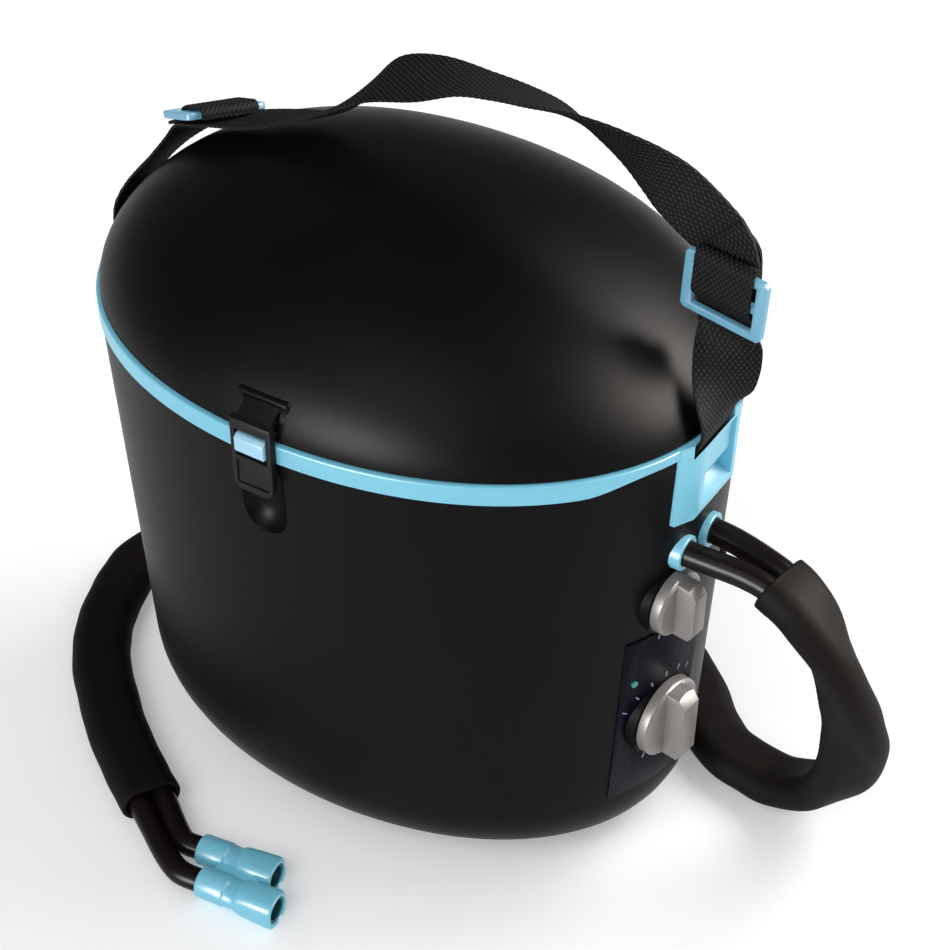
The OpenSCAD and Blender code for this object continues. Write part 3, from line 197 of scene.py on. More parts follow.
def moulded_surface():
    """Fine moulded grain: uneven colour, uneven gloss and a shallow bump."""
    group, given, out = effect(
        "moulded_surface",
        [("Colour", COLOUR, (0.5, 0.5, 0.5, 1)), ("Unevenness", NUMBER, 0.1),
         ("Gloss loss", NUMBER, 0.4), ("Grain size", NUMBER, 900.0), ("Streak", NUMBER, 1.0),
         ("Depth", NUMBER, 0.2)],
        [("Colour", COLOUR), ("Roughness", NUMBER), ("Normal", VECTOR)])
    nodes, links = group.nodes, group.links
    place = nodes.new("ShaderNodeTexCoord")
    stretch = nodes.new("ShaderNodeVectorMath")
    stretch.operation = "MULTIPLY"
    ratio = nodes.new("ShaderNodeCombineXYZ")
    ratio.inputs[0].default_value = ratio.inputs[1].default_value = 1
    links.new(given.outputs["Streak"], ratio.inputs[2])
    links.new(place.outputs["Object"], stretch.inputs[0])
    links.new(ratio.outputs[0], stretch.inputs[1])
    fine = nodes.new("ShaderNodeTexNoise")
    fine.inputs["Detail"].default_value = 3
    links.new(stretch.outputs[0], fine.inputs["Vector"])
    links.new(given.outputs["Grain size"], fine.inputs["Scale"])
    broad = nodes.new("ShaderNodeTexNoise")
    broad.inputs["Scale"].default_value = BROAD_SCALE
    broad.inputs["Detail"].default_value = 4
    links.new(place.outputs["Object"], broad.inputs["Vector"])
    both = math_node(group, "ADD", fine.outputs["Fac"], broad.outputs["Fac"])
    swing = math_node(group, "MULTIPLY", math_node(group, "SUBTRACT", both, 1.0),
                      given.outputs["Unevenness"])
    lift = nodes.new("ShaderNodeVectorMath")
    lift.operation = "SCALE"
    links.new(given.outputs["Colour"], lift.inputs[0])
    links.new(math_node(group, "ADD", swing, 1.0), lift.inputs["Scale"])
    links.new(lift.outputs[0], out.inputs["Colour"])
    links.new(math_node(group, "ADD", given.outputs["Gloss loss"],
                        math_node(group, "MULTIPLY", swing, GLOSS_SWING)),
              out.inputs["Roughness"])
    bump = nodes.new("ShaderNodeBump")
    bump.inputs["Distance"].default_value = GRAIN_HEIGHT
    links.new(given.outputs["Depth"], bump.inputs["Strength"])
    links.new(fine.outputs["Fac"], bump.inputs["Height"])
    links.new(bump.outputs[0], out.inputs["Normal"])
    return group


MOULDED = moulded_surface()
SURFACE_SOCKETS = (("Colour", "Base Color"), ("Roughness", "Roughness"), ("Normal", "Normal"))


def moulded(name, colour, gloss_loss, unevenness=0.1, grain=900.0, streak=1.0, depth=0.2,
            metallic=0.0, specular=0.5, glow=0.0):
    """A material on the moulded surface effect; whole-surface values stay on the shader."""
    material = bpy.data.materials.new(name)
    material.use_nodes = True
    tree = material.node_tree
    shader = tree.nodes["Principled BSDF"]
    surface = tree.nodes.new("ShaderNodeGroup")
    surface.node_tree = MOULDED
    for label, value in (("Colour", (*colour, 1)), ("Unevenness", unevenness),
                         ("Gloss loss", gloss_loss), ("Grain size", grain),
                         ("Streak", streak), ("Depth", depth)):
        surface.inputs[label].default_value = value
    for label, socket in SURFACE_SOCKETS:
        tree.links.new(surface.outputs[label], shader.inputs[socket])
    shader.inputs["Metallic"].default_value = metallic
    shader.inputs["Specular IOR Level"].default_value = specular
    if glow:
        shader.inputs["Emission Color"].default_value = (*colour, 1)
        shader.inputs["Emission Strength"].default_value = glow
    return material


def coat_with(piece, material):
    """Gives a piece one material and no other."""
    piece.data.materials.clear()
    piece.data.materials.append(material)


hose_rubber = moulded("hose_rubber", (0.0075, 0.005, 0.0045), 0.3, unevenness=0.2, grain=1500,
                      depth=0.1, specular=0.1)
middle = [Vector(p[:3]) for p in ROUTE]
for name, side, tail, node, reach in (("supply_hose_tube", -1, SUPPLY_END, "supply_hose", 0.873),
                                      ("return_hose_tube", 1, RETURN_END, "return_hose", 0.855)):
    stations = []
    for j, p in enumerate(ROUTE):
        spread = PORT_PITCH / 2 + (PAIR_HALF - PORT_PITCH / 2) * p[3] / CLOSED_UP
        stations.append(middle[j] + side * spread * level_side(heading(middle, j)))
    line = flowing(stations + tail, HOSE_STEPS)
    rows = []
    across = Vector((0, 1, 0))
    for j, p in enumerate(line):
        ahead = heading(line, j)
        across = (across - across.dot(ahead) * ahead).normalized()
        other = ahead.cross(across)
        rows.append([p + HOSE_RADIUS * (math.cos(a) * across + math.sin(a) * other)
                     for a in angles_round(HOSE_SIDES)])
    hose = formed(name, rows)
    coat_with(hose, hose_rubber)
    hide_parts(node)
    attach(hose, "body")

# Foam sleeve: a flat black tube pulled over both hoses before the coupling was fitted, its
# two ends cut square, with a soft matt skin.
SLEEVE_INSIDE = 6.25
SLEEVE_OUTSIDE = 8.55
SLEEVE_SIDES = 44
SLEEVE_STEPS = 6
FIRST_COVERED = 4
RIPPLE = 0.12 / 14
RIPPLE_TURN = 0.9
OUTER_LIP = ((0.9, 0), (0.3, 0.25), (0, 0.9))  # cut off the radius, and back from the end
INNER_LIP = ((0.5, 0), (0, 0.6))  # added to the radius, and back from the end
sleeve_line = flowing(middle[FIRST_COVERED:], SLEEVE_STEPS)
last = len(sleeve_line) - 1


def pair_section(r):
    """Points round two hoses side by side: two half circles and the flats between them."""
    return [(math.copysign(PAIR_HALF, math.cos(a)) + r * math.cos(a), r * math.sin(a))
            for a in angles_round(SLEEVE_SIDES, 0.5)]


def sleeve_ring(j, r, shift=0):
    """One section of the sleeve's skin or bore, moved along it by a shift."""
    ahead = heading(sleeve_line, j)
    side = level_side(ahead)
    up = ahead.cross(side)
    rippled = r == SLEEVE_OUTSIDE and 2 < j < last - 2
    swell = 1 + (RIPPLE * math.sin(j * RIPPLE_TURN) if rippled else 0)
    return [sleeve_line[j] + shift * ahead + (u * side + v * up) * swell
            for u, v in pair_section(r)]


rows = [sleeve_ring(0, SLEEVE_OUTSIDE - cut, back) for cut, back in OUTER_LIP]
rows += [sleeve_ring(j, SLEEVE_OUTSIDE) for j in range(1, last)]
rows += [sleeve_ring(last, SLEEVE_OUTSIDE - cut, -back) for cut, back in reversed(OUTER_LIP)]
rows += [sleeve_ring(last, SLEEVE_INSIDE + flare, -back) for flare, back in INNER_LIP]
rows += [sleeve_ring(j, SLEEVE_INSIDE) for j in range(last - 1, 0, -1)]
rows += [sleeve_ring(0, SLEEVE_INSIDE + flare, back) for flare, back in reversed(INNER_LIP)]
sleeve = formed("hose_sleeve_foam", rows + [rows[0]], ends=False)
coat_with(sleeve, moulded("sleeve_foam", (0.0078, 0.006, 0.005), 0.62, unevenness=0.35,
                          grain=700, depth=0.5, specular=0.05))
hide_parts("hose_sleeve")
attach(sleeve, "body")

# Coupling: two moulded barrels joined by a web, each with an open socket that the pad's own
# plugs click into, and a dark teal lining inside that is much darker than the barrels.
COUPLING_TURN = math.radians(7.83)
HALVES = ((-25, -135), (-14, -149.5))
BARREL_HEIGHT = 8
BARREL_SIDES = 72
BRIDGE_MIDDLE = (-0.019, -0.1342, 0.008)
BRIDGE_AHEAD = (0.0165, -0.0065, 0)
BRIDGE_SIZE = (0.021, 0.0125, 0.0072, 1)
BRIDGE_EDGE = 0.0015


def signed_power(value, power):
    """A power of a number's size, with the number's own sign."""
    return math.copysign(abs(value) ** power, value)


def oval(a, b, n, turn):
    """A point of an oval with half axes a and b, squarer the higher n is."""
    return (a * signed_power(math.cos(turn), 2 / n), b * signed_power(math.sin(turn), 2 / n))


def barrel_ring(x, across, up, power, place):
    """One section of a barrel: an oval that squares off towards the mouth."""
    ring = []
    for turn in angles_round(BARREL_SIDES):
        side, rise = oval(across, up, power, turn)
        ring.append((place[0] + x * math.cos(COUPLING_TURN) - side * math.sin(COUPLING_TURN),
                     place[1] + x * math.sin(COUPLING_TURN) + side * math.cos(COUPLING_TURN),
                     BARREL_HEIGHT + rise))
    return ring


accent = moulded("light_blue_plastic", (0.19, 0.58, 0.76), 0.34, unevenness=0.06, depth=0.05)
OUTSIDE = ((0, 6.1, 6.1, 2), (0.4, 6.7, 6.7, 2), (1.2, 7, 7, 2), (9, 7.1, 7.1, 2),
           (13, 7.2, 7, 2.1), (13.7, 7.1, 6.7, 2.1), (14.2, 7, 5.9, 2.1), (15, 7, 5.5, 2.2),
           (18.5, 7, 5.5, 2.2), (19.3, 7.1, 6, 2.2), (20, 7.2, 7, 2.3), (22, 7.3, 7.3, 2.6),
           (27, 7.5, 7.6, 2.9), (36.6, 7.7, 7.8, 3.2), (37.6, 7.5, 7.6, 3.2), (38, 7, 7.1, 3))
INSIDE_WALL = ((38, 6.5, 6.5, 2.3), (37.6, 6.15, 6.15, 2), (26, 6.1, 6.1, 2),
               (25.1, 6.1, 6.1, 2))
barrels = []
for which, place in zip(("rear", "front"), HALVES):
    barrel = formed("coupling_barrel_" + which,
                    [barrel_ring(*row, place) for row in OUTSIDE + INSIDE_WALL])
    barrels.append(barrel)
bpy.ops.object.select_all(action="DESELECT")
bpy.ops.mesh.primitive_cube_add(size=1)
web = bpy.context.object
web.name = web.data.name = "coupling_web"
web.data.transform(Matrix.Translation(BRIDGE_MIDDLE) @ Matrix.Rotation(COUPLING_TURN, 4, "Z")
                   @ Matrix.Translation(BRIDGE_AHEAD) @ Matrix.Diagonal(BRIDGE_SIZE))
only(web)
edge = web.modifiers.new("edge", "BEVEL")
edge.width = BRIDGE_EDGE
edge.segments = 4
bpy.ops.object.modifier_apply(modifier=edge.name)
for piece in barrels + [web]:
    coat_with(piece, accent)
    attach(piece, "body")
for piece in barrels:
    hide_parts("coupling_body")
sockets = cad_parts["coupling_sockets"]
# The sockets' lining is coloured a dark teal, much darker than the blue barrels.
coat_with(sockets, moulded("socket_dark_teal", (0.01, 0.09, 0.11), 0.3, depth=0.05))

# Tub: one deep injection-moulded cup, oval in plan, tapering to a rolled bottom edge, with
# a stepped top edge for the band. Fine vertical brushing shows in its satin black.
HALF_LENGTH = 140
HALF_DEPTH = 105.5
FOOT_LENGTH = 134.5
FOOT_DEPTH = 95.5
TUB_HEIGHT = 218.5
SHELL_TOP = 223
PLAN_POWER = 2.07
BASE_ROUND = 40
BOTTOM_TURN = 67.66  # degrees of the rolled bottom edge, outside and inside
INNER_TURN = 67.5
SIDE_TOP = 217
WALL = 3
TOP_EDGE = ((0, 0.6), (0.15, 0.35), (0.5, 0.3), (1.2, 0.3))  # set in, and dropped
TOP_STEP = 1.2
END_RISE = 4
RISE_FROM = 0.82  # of the half length, where the band starts to thin
RISE_OVER = 0.12
ANCHOR_MIDDLE = -7.5
ANCHOR_HALF = 20.3
ANCHOR_LOW = 190.2
ANCHOR_HIGH = 238
ANCHOR_OUT = 152
SCOOP_RADIUS = 12
SCOOP_DEPTH = 6
SCOOP_LOW = 190
SCOOP_HIGH = 205
SCOOP_WALL = 103.9
SCOOP_SIDES = 48
SCOOP_POLE = 85  # degrees that each round end of the scoop climbs
SCOOP_BACKING = ((-14, -102.8, 172), (14, -95.2, 212), 1.5)
TUB_HINGE_PAD = ((-20, 100.5, 202.5), (20, 106.4, 217), 0.8)
BOSS_IN = 6
BOSS_OUT = 0.8
PORT_HEIGHT = 172
PORT_HOLE = 7.45
PORT_SIDES = (-18.5, -0.5)
ROD_SIDES = 64
ROUND_TUB = angles_round(192)


def tub_plan(z, inset=0):
    """Half length, half depth and squareness of the tub's outline at a height."""
    up = min(z / TUB_HEIGHT, 1)
    return (FOOT_LENGTH + (HALF_LENGTH - FOOT_LENGTH) * up - inset,
            FOOT_DEPTH + (HALF_DEPTH - FOOT_DEPTH) * up - inset, 2 + (PLAN_POWER - 2) * up)


def tub_ring(z, inset):
    """The tub's outline at a height, set in from its wall."""
    plan = tub_plan(z, inset)
    return [(*oval(*plan, turn), z) for turn in ROUND_TUB]


def on_wall(y, z):
    """The point of the control end's wall at a side position and height."""
    a, b, n = tub_plan(z)
    return Vector((a * (1 - (abs(y) / b) ** n) ** (1 / n), y, z))


def level_axis(degrees):
    """A level direction, turned from the control end's own."""
    return Vector((math.cos(math.radians(degrees)), math.sin(math.radians(degrees)), 0))


def band_low(x):
    """Lower edge of the coloured band, which rises near both ends."""
    t = min(max((abs(x) / HALF_LENGTH - RISE_FROM) / RISE_OVER, 0), 1)
    return TUB_HEIGHT + END_RISE * t * t * (3 - 2 * t)


def low_ring(inset, drop):
    """The outline that follows the band's lower edge, set in and dropped from it."""
    ring = []
    for turn in ROUND_TUB:
        x = oval(HALF_LENGTH, HALF_DEPTH, PLAN_POWER, turn)[0]
        ring.append((*oval(HALF_LENGTH - inset, HALF_DEPTH - inset, PLAN_POWER, turn),
                     band_low(x) - drop))
    return ring


def cut_away(piece, tool, operation="DIFFERENCE"):
    """Takes one shape out of a piece, or joins it on, and removes the tool."""
    only(piece)
    change = piece.modifiers.new("cut", "BOOLEAN")
    change.operation = operation
    change.solver = "EXACT"
    change.object = tool
    bpy.ops.object.modifier_apply(modifier=change.name)
    bpy.data.objects.remove(tool)


def block(low, high, edge=0.0, segments=3):
    """A box between two corners in millimetres, its edges rounded."""
    bpy.ops.object.select_all(action="DESELECT")
    centre = [(a + b) / 2 * MM for a, b in zip(low, high)]
    bpy.ops.mesh.primitive_cube_add(size=1, location=centre)
    piece = bpy.context.object
    piece.scale = [(b - a) * MM for a, b in zip(low, high)]
    bpy.ops.object.transform_apply(location=True, rotation=True, scale=True)
    if edge:
        bpy.ops.object.mode_set(mode="EDIT")
        bpy.ops.mesh.select_all(action="SELECT")
        bpy.ops.mesh.bevel(offset=edge * MM, segments=segments, affect="EDGES")
        bpy.ops.object.mode_set(mode="OBJECT")
    return piece


def rod(start, end, radius):
    """A round bar between two points in millimetres."""
    bpy.ops.object.select_all(action="DESELECT")
    start, end = Vector(start), Vector(end)
    bpy.ops.mesh.primitive_cylinder_add(vertices=ROD_SIDES, radius=radius * MM,
                                        depth=(end - start).length * MM)
    piece = bpy.context.object
    turn = (end - start).to_track_quat("Z", "Y").to_matrix().to_4x4()
    piece.data.transform(Matrix.Translation((start + end) / 2 * MM) @ turn)
    return piece


def anchor_room(side, inside):
    """The room that a strap anchor takes in one end, from a distance inside it outwards."""
    low, high = sorted((side * inside, side * ANCHOR_OUT))
    return block((low, ANCHOR_MIDDLE - ANCHOR_HALF, ANCHOR_LOW),
                 (high, ANCHOR_MIDDLE + ANCHOR_HALF, ANCHOR_HIGH))


rows = []
for k in range(9):
    t = math.radians(BOTTOM_TURN * (1 - k / 8))
    rows.append(tub_ring(BASE_ROUND * (1 - math.sin(t)), BASE_ROUND * (1 - math.cos(t))))
rows += [tub_ring(BASE_ROUND + (SIDE_TOP - BASE_ROUND) * k / 12, 0) for k in range(1, 13)]
rows += [low_ring(*step) for step in TOP_EDGE]
rows += [tub_ring(SHELL_TOP, TOP_STEP), tub_ring(SHELL_TOP, WALL)]
inner = BASE_ROUND - WALL
for k in range(7):
    t = math.radians(INNER_TURN * k / 6)
    rows.append(tub_ring(BASE_ROUND - inner * math.sin(t), BASE_ROUND - inner * math.cos(t)))
tub = formed("tub", rows)
for solid in (SCOOP_BACKING, TUB_HINGE_PAD):
    cut_away(tub, block(*solid), "UNION")
KNOB_AXIS = level_axis(-8)
UPPER = on_wall(-23, 150)
LOWER = on_wall(-19, 83)
for place, reach in ((UPPER, 15), (LOWER, 19)):
    cut_away(tub, rod(place - BOSS_IN * KNOB_AXIS, place + BOSS_OUT * KNOB_AXIS, reach),
             "UNION")
profile = [(SCOOP_RADIUS * math.sin(t), SCOOP_LOW - SCOOP_RADIUS * math.cos(t))
           for t in (math.radians(90 - SCOOP_POLE + SCOOP_POLE * k / 12) for k in range(13))]
profile += [(SCOOP_RADIUS * math.cos(t), SCOOP_HIGH + SCOOP_RADIUS * math.sin(t))
            for t in (math.radians(SCOOP_POLE * k / 10) for k in range(11))]
scoop_y = -(SCOOP_WALL + SCOOP_RADIUS - SCOOP_DEPTH)
cut_away(tub, formed("scoop_tool", [
    [(r * math.cos(a), scoop_y + r * math.sin(a), z) for a in angles_round(SCOOP_SIDES)]
    for r, z in profile]))
for side in (-1, 1):
    cut_away(tub, anchor_room(side, 126.1))
for y in PORT_SIDES:
    cut_away(tub, rod((120, y, PORT_HEIGHT), (150, y, PORT_HEIGHT), PORT_HOLE))
# Holes for the two shafts, the lens and the power socket.
for place, axis, inward, outward, radius in (
        (UPPER, KNOB_AXIS, 20, 10, 4.85), (LOWER, KNOB_AXIS, 20, 10, 4.85),
        (on_wall(-35.5, 110), level_axis(-27), 10, 10, 1.65),
        (on_wall(40, 125), level_axis(31), 15, 15, 5.55)):
    cut_away(tub, rod(place - inward * axis, place + outward * axis, radius))
smooth_shaded(tub)
case_black = moulded("case_black_satin", (0.003, 0.003, 0.0032), 0.4, unevenness=0.35,
                     grain=1400, streak=0.06, depth=0.16, specular=0.055)
coat_with(tub, case_black)
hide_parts("body_shell")
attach(tub, "body")

# Band: a light blue moulding that caps the tub's wall and clamps the liner's flange. It
# thins where it meets the strap anchors at the two ends.
BAND_PROUD = 0.8
BAND_TOP = 227
BAND_IN = 9.8
BAND_LAP = 0.9
LUG_GAP = ((-7.1, -112, 214), (7.1, -101.5, 232))
rows = [low_ring(-0.5, 0), low_ring(-BAND_PROUD, -0.35)]
rows += [tub_ring(z, -BAND_PROUD) for z in (224.5, 225.6, BAND_TOP - BAND_PROUD)]
rows += [tub_ring(BAND_TOP - BAND_PROUD * (1 - math.sin(t)), -BAND_PROUD * math.cos(t))
         for t in (math.radians(30), math.radians(60), math.radians(90))]
rows += [tub_ring(BAND_TOP, BAND_IN), tub_ring(SHELL_TOP, BAND_IN),
         tub_ring(SHELL_TOP, BAND_LAP), low_ring(BAND_LAP, 0)]
band = formed("band", rows + [rows[0]], ends=False)
for side in (-1, 1):
    cut_away(band, anchor_room(side, 134.2))
cut_away(band, block(*LUG_GAP))
smooth_shaded(band)
coat_with(band, accent)
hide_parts("rim_band")
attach(band, "body")

# Lid: a tall domed moulding with the same satin black skin. A recess in its front edge
# takes the latch's hub, and the pin is held in the recess's two cheeks.
LID_BASE = 227.3
LID_RISE = 65.7
LID_LEAN = 7
LID_OUTSIDE = 0.9
LID_INSIDE = 3.9
LID_CROWN = 2.7
LATCH_SEAT = ((-12, -101.2, 231.3), (12, -94.6, 243.6), 1.6, 5)
LID_HINGE_PAD = ((-20, 96.9, 228.4), (20, 106.6, 241), 0.6)
LATCH_RECESS = ((-8.5, -118, 231.8), (8.5, -96.2, 242), 0.8)
LATCH_PIN_HOLE = ((-12.3, -99.3, 238.5), (12.3, -99.3, 238.5), 1.25)
RISE_POWER = 1.206
LENGTH_POWER = 0.936
DEPTH_POWER = 1.03
INNER_CLIMB = (88, 84, 77, 70, 62, 54, 46, 37, 28, 19, 9, 0)
OUTER_CLIMB = (0.9, 2.5, 5, 8, *range(12, 88, 4), 88.6)


def dome_ring(inset, rise, degrees):
    """One ring of the dome at an angle of climb, its top leaning away from the controls."""
    t = math.radians(degrees)
    up = math.sin(t) ** RISE_POWER
    a = (HALF_LENGTH - inset) * math.cos(t) ** LENGTH_POWER
    b = (HALF_DEPTH - inset) * math.cos(t) ** DEPTH_POWER
    ring = [oval(a, b, PLAN_POWER, turn) for turn in ROUND_TUB]
    return [(x - LID_LEAN * up, y, LID_BASE + rise * up) for x, y in ring]


rows = [dome_ring(LID_INSIDE, LID_RISE - LID_CROWN, t) for t in INNER_CLIMB]
rows += [dome_ring(1.4, LID_RISE, 0)]
rows += [dome_ring(LID_OUTSIDE, LID_RISE, t) for t in OUTER_CLIMB]
lid = formed("lid", rows)
for solid in (LATCH_SEAT, LID_HINGE_PAD):
    cut_away(lid, block(*solid), "UNION")
cut_away(lid, block(*LATCH_RECESS))
cut_away(lid, rod(*LATCH_PIN_HOLE))
smooth_shaded(lid)
coat_with(lid, case_black)
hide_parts("lid_shell")
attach(lid, "lid")

# Strap anchors: light blue pocketed blocks let into the tub's two ends. The sewn end of the
# webbing goes down through a slot behind the pocket and round a steel bar.
ANCHOR_TOP = 0.2271
LIP_LEFT = 0.1
FLAT_ANGLE = 1.5
EDGE_ANGLE = 30
EDGED_SMOOTH = 35


def edged_copy(node, name, material, body, edge, segments=3, top=None):
    """The node's own solid with its edges rounded, which stands for the node. What rises
    above the height top, if one is given, is pressed nearly flat."""
    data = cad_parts[node].data.copy()
    data.name = name
    if top is not None:
        for corner in data.vertices:
            if corner.co.z > top:
                corner.co.z = top + (corner.co.z - top) * LIP_LEFT
    piece = bpy.data.objects.new(name, data)
    bpy.context.scene.collection.objects.link(piece)
    only(piece)
    bpy.ops.object.mode_set(mode="EDIT")
    bpy.ops.mesh.select_all(action="SELECT")
    bpy.ops.mesh.remove_doubles(threshold=2e-6)
    bpy.ops.mesh.dissolve_limited(angle_limit=math.radians(FLAT_ANGLE))
    bpy.ops.object.mode_set(mode="OBJECT")
    bevel = piece.modifiers.new("edge", "BEVEL")
    bevel.width = edge * MM
    bevel.segments = segments
    bevel.limit_method = "ANGLE"
    bevel.angle_limit = math.radians(EDGE_ANGLE)
    bpy.ops.object.modifier_apply(modifier=bevel.name)
    smooth_shaded(piece, EDGED_SMOOTH)
    coat_with(piece, material)
    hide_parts(node)
    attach(piece, body)


anchor_blue = moulded("anchor_blue", (0.2, 0.6, 0.78), 0.36, unevenness=0.06, depth=0.05)
for side in ("right", "left"):
    edged_copy("anchor_" + side, "strap_anchor_" + side, anchor_blue, "body", 0.5,
               top=ANCHOR_TOP)
steel = moulded("plated_steel", (0.55, 0.55, 0.56), 0.28, unevenness=0.1, grain=600, depth=0.1,
                metallic=1.0)
coat_with(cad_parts["anchor_bars"], steel)

# Hose ports: a blue collar lines each hole, and a barbed fitting inside it holds the hose.
edged_copy("port_collars", "port_rings", anchor_blue, "body", 0.5)
coat_with(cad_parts["port_fittings"], moulded("fitting_white", (0.7, 0.7, 0.66), 0.4))

# Control panel: a dark blue printed film behind the lower knob, plain tick marks round both
# knobs, and a small round lens for the power light.
edged_copy("control_label", "panel_film",
           moulded("panel_navy", (0.002, 0.0022, 0.008), 0.4, unevenness=0.1, depth=0.04,
                   specular=0.05), "body", 0.12, 2)
coat_with(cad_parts["power_light"], moulded("lens_teal", (0.01, 0.2, 0.17), 0.15,
                                                 depth=0.0, glow=0.1))

TICKS = [(LOWER, 22.5, a, 2.6) for a in (-60, -40, -20, 0, 20, 40, 140, 160, 180, 200)]
TICKS += [(UPPER, 19, a, 2.2) for a in (150, 170, 190)]
TICK_HALF = 0.3
PRINT_LIFT = Vector((0.77, 0, 0))
marks = []
for dial, reach, degrees, long in TICKS:
    a = math.radians(degrees)
    y = dial.y + reach * math.sin(a)
    z = dial.z + reach * math.cos(a)
    slope = on_wall(y + 0.5, z).x - on_wall(y - 0.5, z).x
    lean = on_wall(y, z + 0.5).x - on_wall(y, z - 0.5).x
    mark = block((-0.05, -TICK_HALF, -long / 2), (0.09, TICK_HALF, long / 2))
    facing = Vector((1, -slope, -lean)).normalized()
    across = Vector((0, 0, 1)).cross(facing).normalized()
    wall_turn = Matrix((facing, across, facing.cross(across))).transposed().to_4x4()
    mark.data.transform(Matrix.Translation((on_wall(y, z) + PRINT_LIFT) * MM)
                        @ wall_turn @ Matrix.Rotation(-a, 4, "X"))
    marks.append(mark)
only(marks[0])
for mark in marks:
    mark.select_set(True)
bpy.ops.object.join()
marks[0].name = marks[0].data.name = "panel_ticks"
coat_with(marks[0], moulded("panel_print", (0.3, 0.32, 0.45), 0.5, depth=0.0, specular=0.1))
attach(marks[0], "body")

# Knobs: satin grey mouldings pushed on D-shaped shafts, a low skirt with a bevelled rim and
# an upright grip bar across the face.
knob_grey = moulded("knob_taupe", (0.22, 0.205, 0.195), 0.4, unevenness=0.12, grain=1200,
                    depth=0.12, metallic=0.25)
for which in ("upper", "lower"):
    edged_copy(which + "_knob", which + "_dial_knob", knob_grey,
               which + "_dial", 0.55)
    coat_with(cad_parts[which + "_shaft"], steel)
    coat_with(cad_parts[which + "_control"],
              moulded(which + "_control_grey", (0.05, 0.055, 0.065), 0.5))

# Latch: a black pull-down flap that turns on a steel pin in the lid's recess, with a window
# that drops over the pale blue lug on the band.
latch_black = moulded("latch_black", (0.006, 0.006, 0.0065), 0.4, unevenness=0.2, depth=0.1,
                      specular=0.12)
edged_copy("latch_flap", "latch_tongue", latch_black, "latch", 0.5)
edged_copy("latch_keeper", "latch_lug", moulded("lug_pale_blue", (0.36, 0.68, 0.87), 0.35,
                                                unevenness=0.05, depth=0.04),
           "body", 0.45)
coat_with(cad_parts["latch_pin"], steel)

# Carry strap: 25.4 mm black polypropylene webbing, plain woven, sewn round the anchor bars
# at both ends and threaded through two sliding adjusters. A station is a place in
# millimetres and the direction of the webbing's width there.
WEB_WIDTH = 25.4
WEB_THICK = 1.5
WEB_PITCH = 1.05
WEB_STEPS = 12
WEB_SMOOTH = 60
CELLS = 24
RAISED_CELL = 0.11
SUNK_CELL = -0.07
EDGE_CELL = 0.1
LINT_SCALE = 2500
WEAVE_HEIGHT = 0.0003
STRAP = [
    (130.5, -7.5, 220.4, 0, 1, 0), (130.5, -7.5, 214, 0, 1, 0), (131.48, -7.5, 211.63, 0, 1, 0),
    (133.85, -7.5, 210.65, 0, 1, 0), (136.22, -7.5, 211.63, 0, 1, 0), (137.1, -7.5, 214, 0, 1, 0),
    (137.1, -7.5, 218, 0, 1, 0), (139, -7.5, 222.5, 0, 1, 0), (141, -7.5, 227.5, 0, 1, 0),
    (142, -7.5, 234, 0.1, 1, 0), (142, -6.5, 241, 0.45, 0.9, 0), (141, -4, 249, 0.75, 0.66, 0),
    (140, -2, 257, 0.93, 0.36, 0), (138.8, -0.6, 267, 0.99, -0.1, 0),
    (138, -0.6, 284, 0.985, -0.17, 0), (137, -0.4, 295.5, 0.985, -0.15, 0.02),
    (135.6, 0, 300.5, 0.97, -0.1, 0.15), (132, -1, 304.5, 0.9, 0, 0.4),
    (124, -2.5, 311.5, 0.7, 0, 0.7), (114, -3, 318.5, 0.55, -0.05, 0.8),
    (105, -3, 323.5, 0.4, -0.25, 0.85), (96, -3, 327.5, 0.3, -0.45, 0.8),
    (86, -3, 331, 0.15, -0.62, 0.75), (74, -3, 334, 0.05, -0.78, 0.6),
    (60, -2, 335.5, 0, -0.92, 0.35), (45, -1, 335.5, 0, -0.97, 0.22), (28, 0, 334, 0, -1, 0.07),
    (8, 0, 330.5, 0, -0.95, -0.3), (-10, 0, 325.5, 0, -0.94, -0.33),
    (-22, 0, 317, 0, -0.98, -0.1), (-32, 0, 307.5, 0, -0.95, 0.25),
    (-44, 0.5, 299.5, 0, -0.95, 0.3), (-58, 1, 294.5, 0, -0.97, 0.2),
    (-72, 0.5, 290, -0.1, -1, 0.1),
    (-85, -0.5, 286.5, -0.25, -0.95, 0.1), (-97.2, 0.3, 281.7, -0.39, -0.91, 0.14),
    (-109, 6, 275.8, -0.39, -0.91, 0.14), (-119, 9, 267.5, -0.3, -0.95, 0.05),
    (-130, 6.5, 256.5, -0.1, -1, 0), (-137.5, 1, 246.5, 0, -1, 0), (-141.3, -5, 236, 0, -1, 0),
    (-141, -7.5, 227.5, 0, -1, 0), (-139, -7.5, 222.5, 0, -1, 0), (-137.1, -7.5, 218, 0, -1, 0),
    (-137.1, -7.5, 214, 0, -1, 0), (-136.22, -7.5, 211.63, 0, -1, 0),
    (-133.85, -7.5, 210.65, 0, -1, 0), (-131.48, -7.5, 211.63, 0, -1, 0),
    (-130.5, -7.5, 214, 0, -1, 0), (-130.5, -7.5, 220.4, 0, -1, 0)]
CUT_END = [(137.8, -2.5, 286, 0.985, -0.17, 0), (137.4, -2.6, 292, 0.985, -0.17, 0),
           (136.8, -2.4, 298.5, 0.985, -0.16, 0.02), (134.6, -2.5, 303.5, 0.96, -0.1, 0.2),
           (132.2, -2.9, 306, 0.9, 0, 0.4)]
WEAVE = [(-19, -4.5), (-15, -4), (-11.5, -3), (-9.2, -2.6), (-5.9, -0.7), (-3, 2), (-0.8, 2.75),
         (3, 2.75), (9, 2.75), (13.2, 2.7), (14.9, 1.6), (15.6, 0), (14.9, -1.3)]


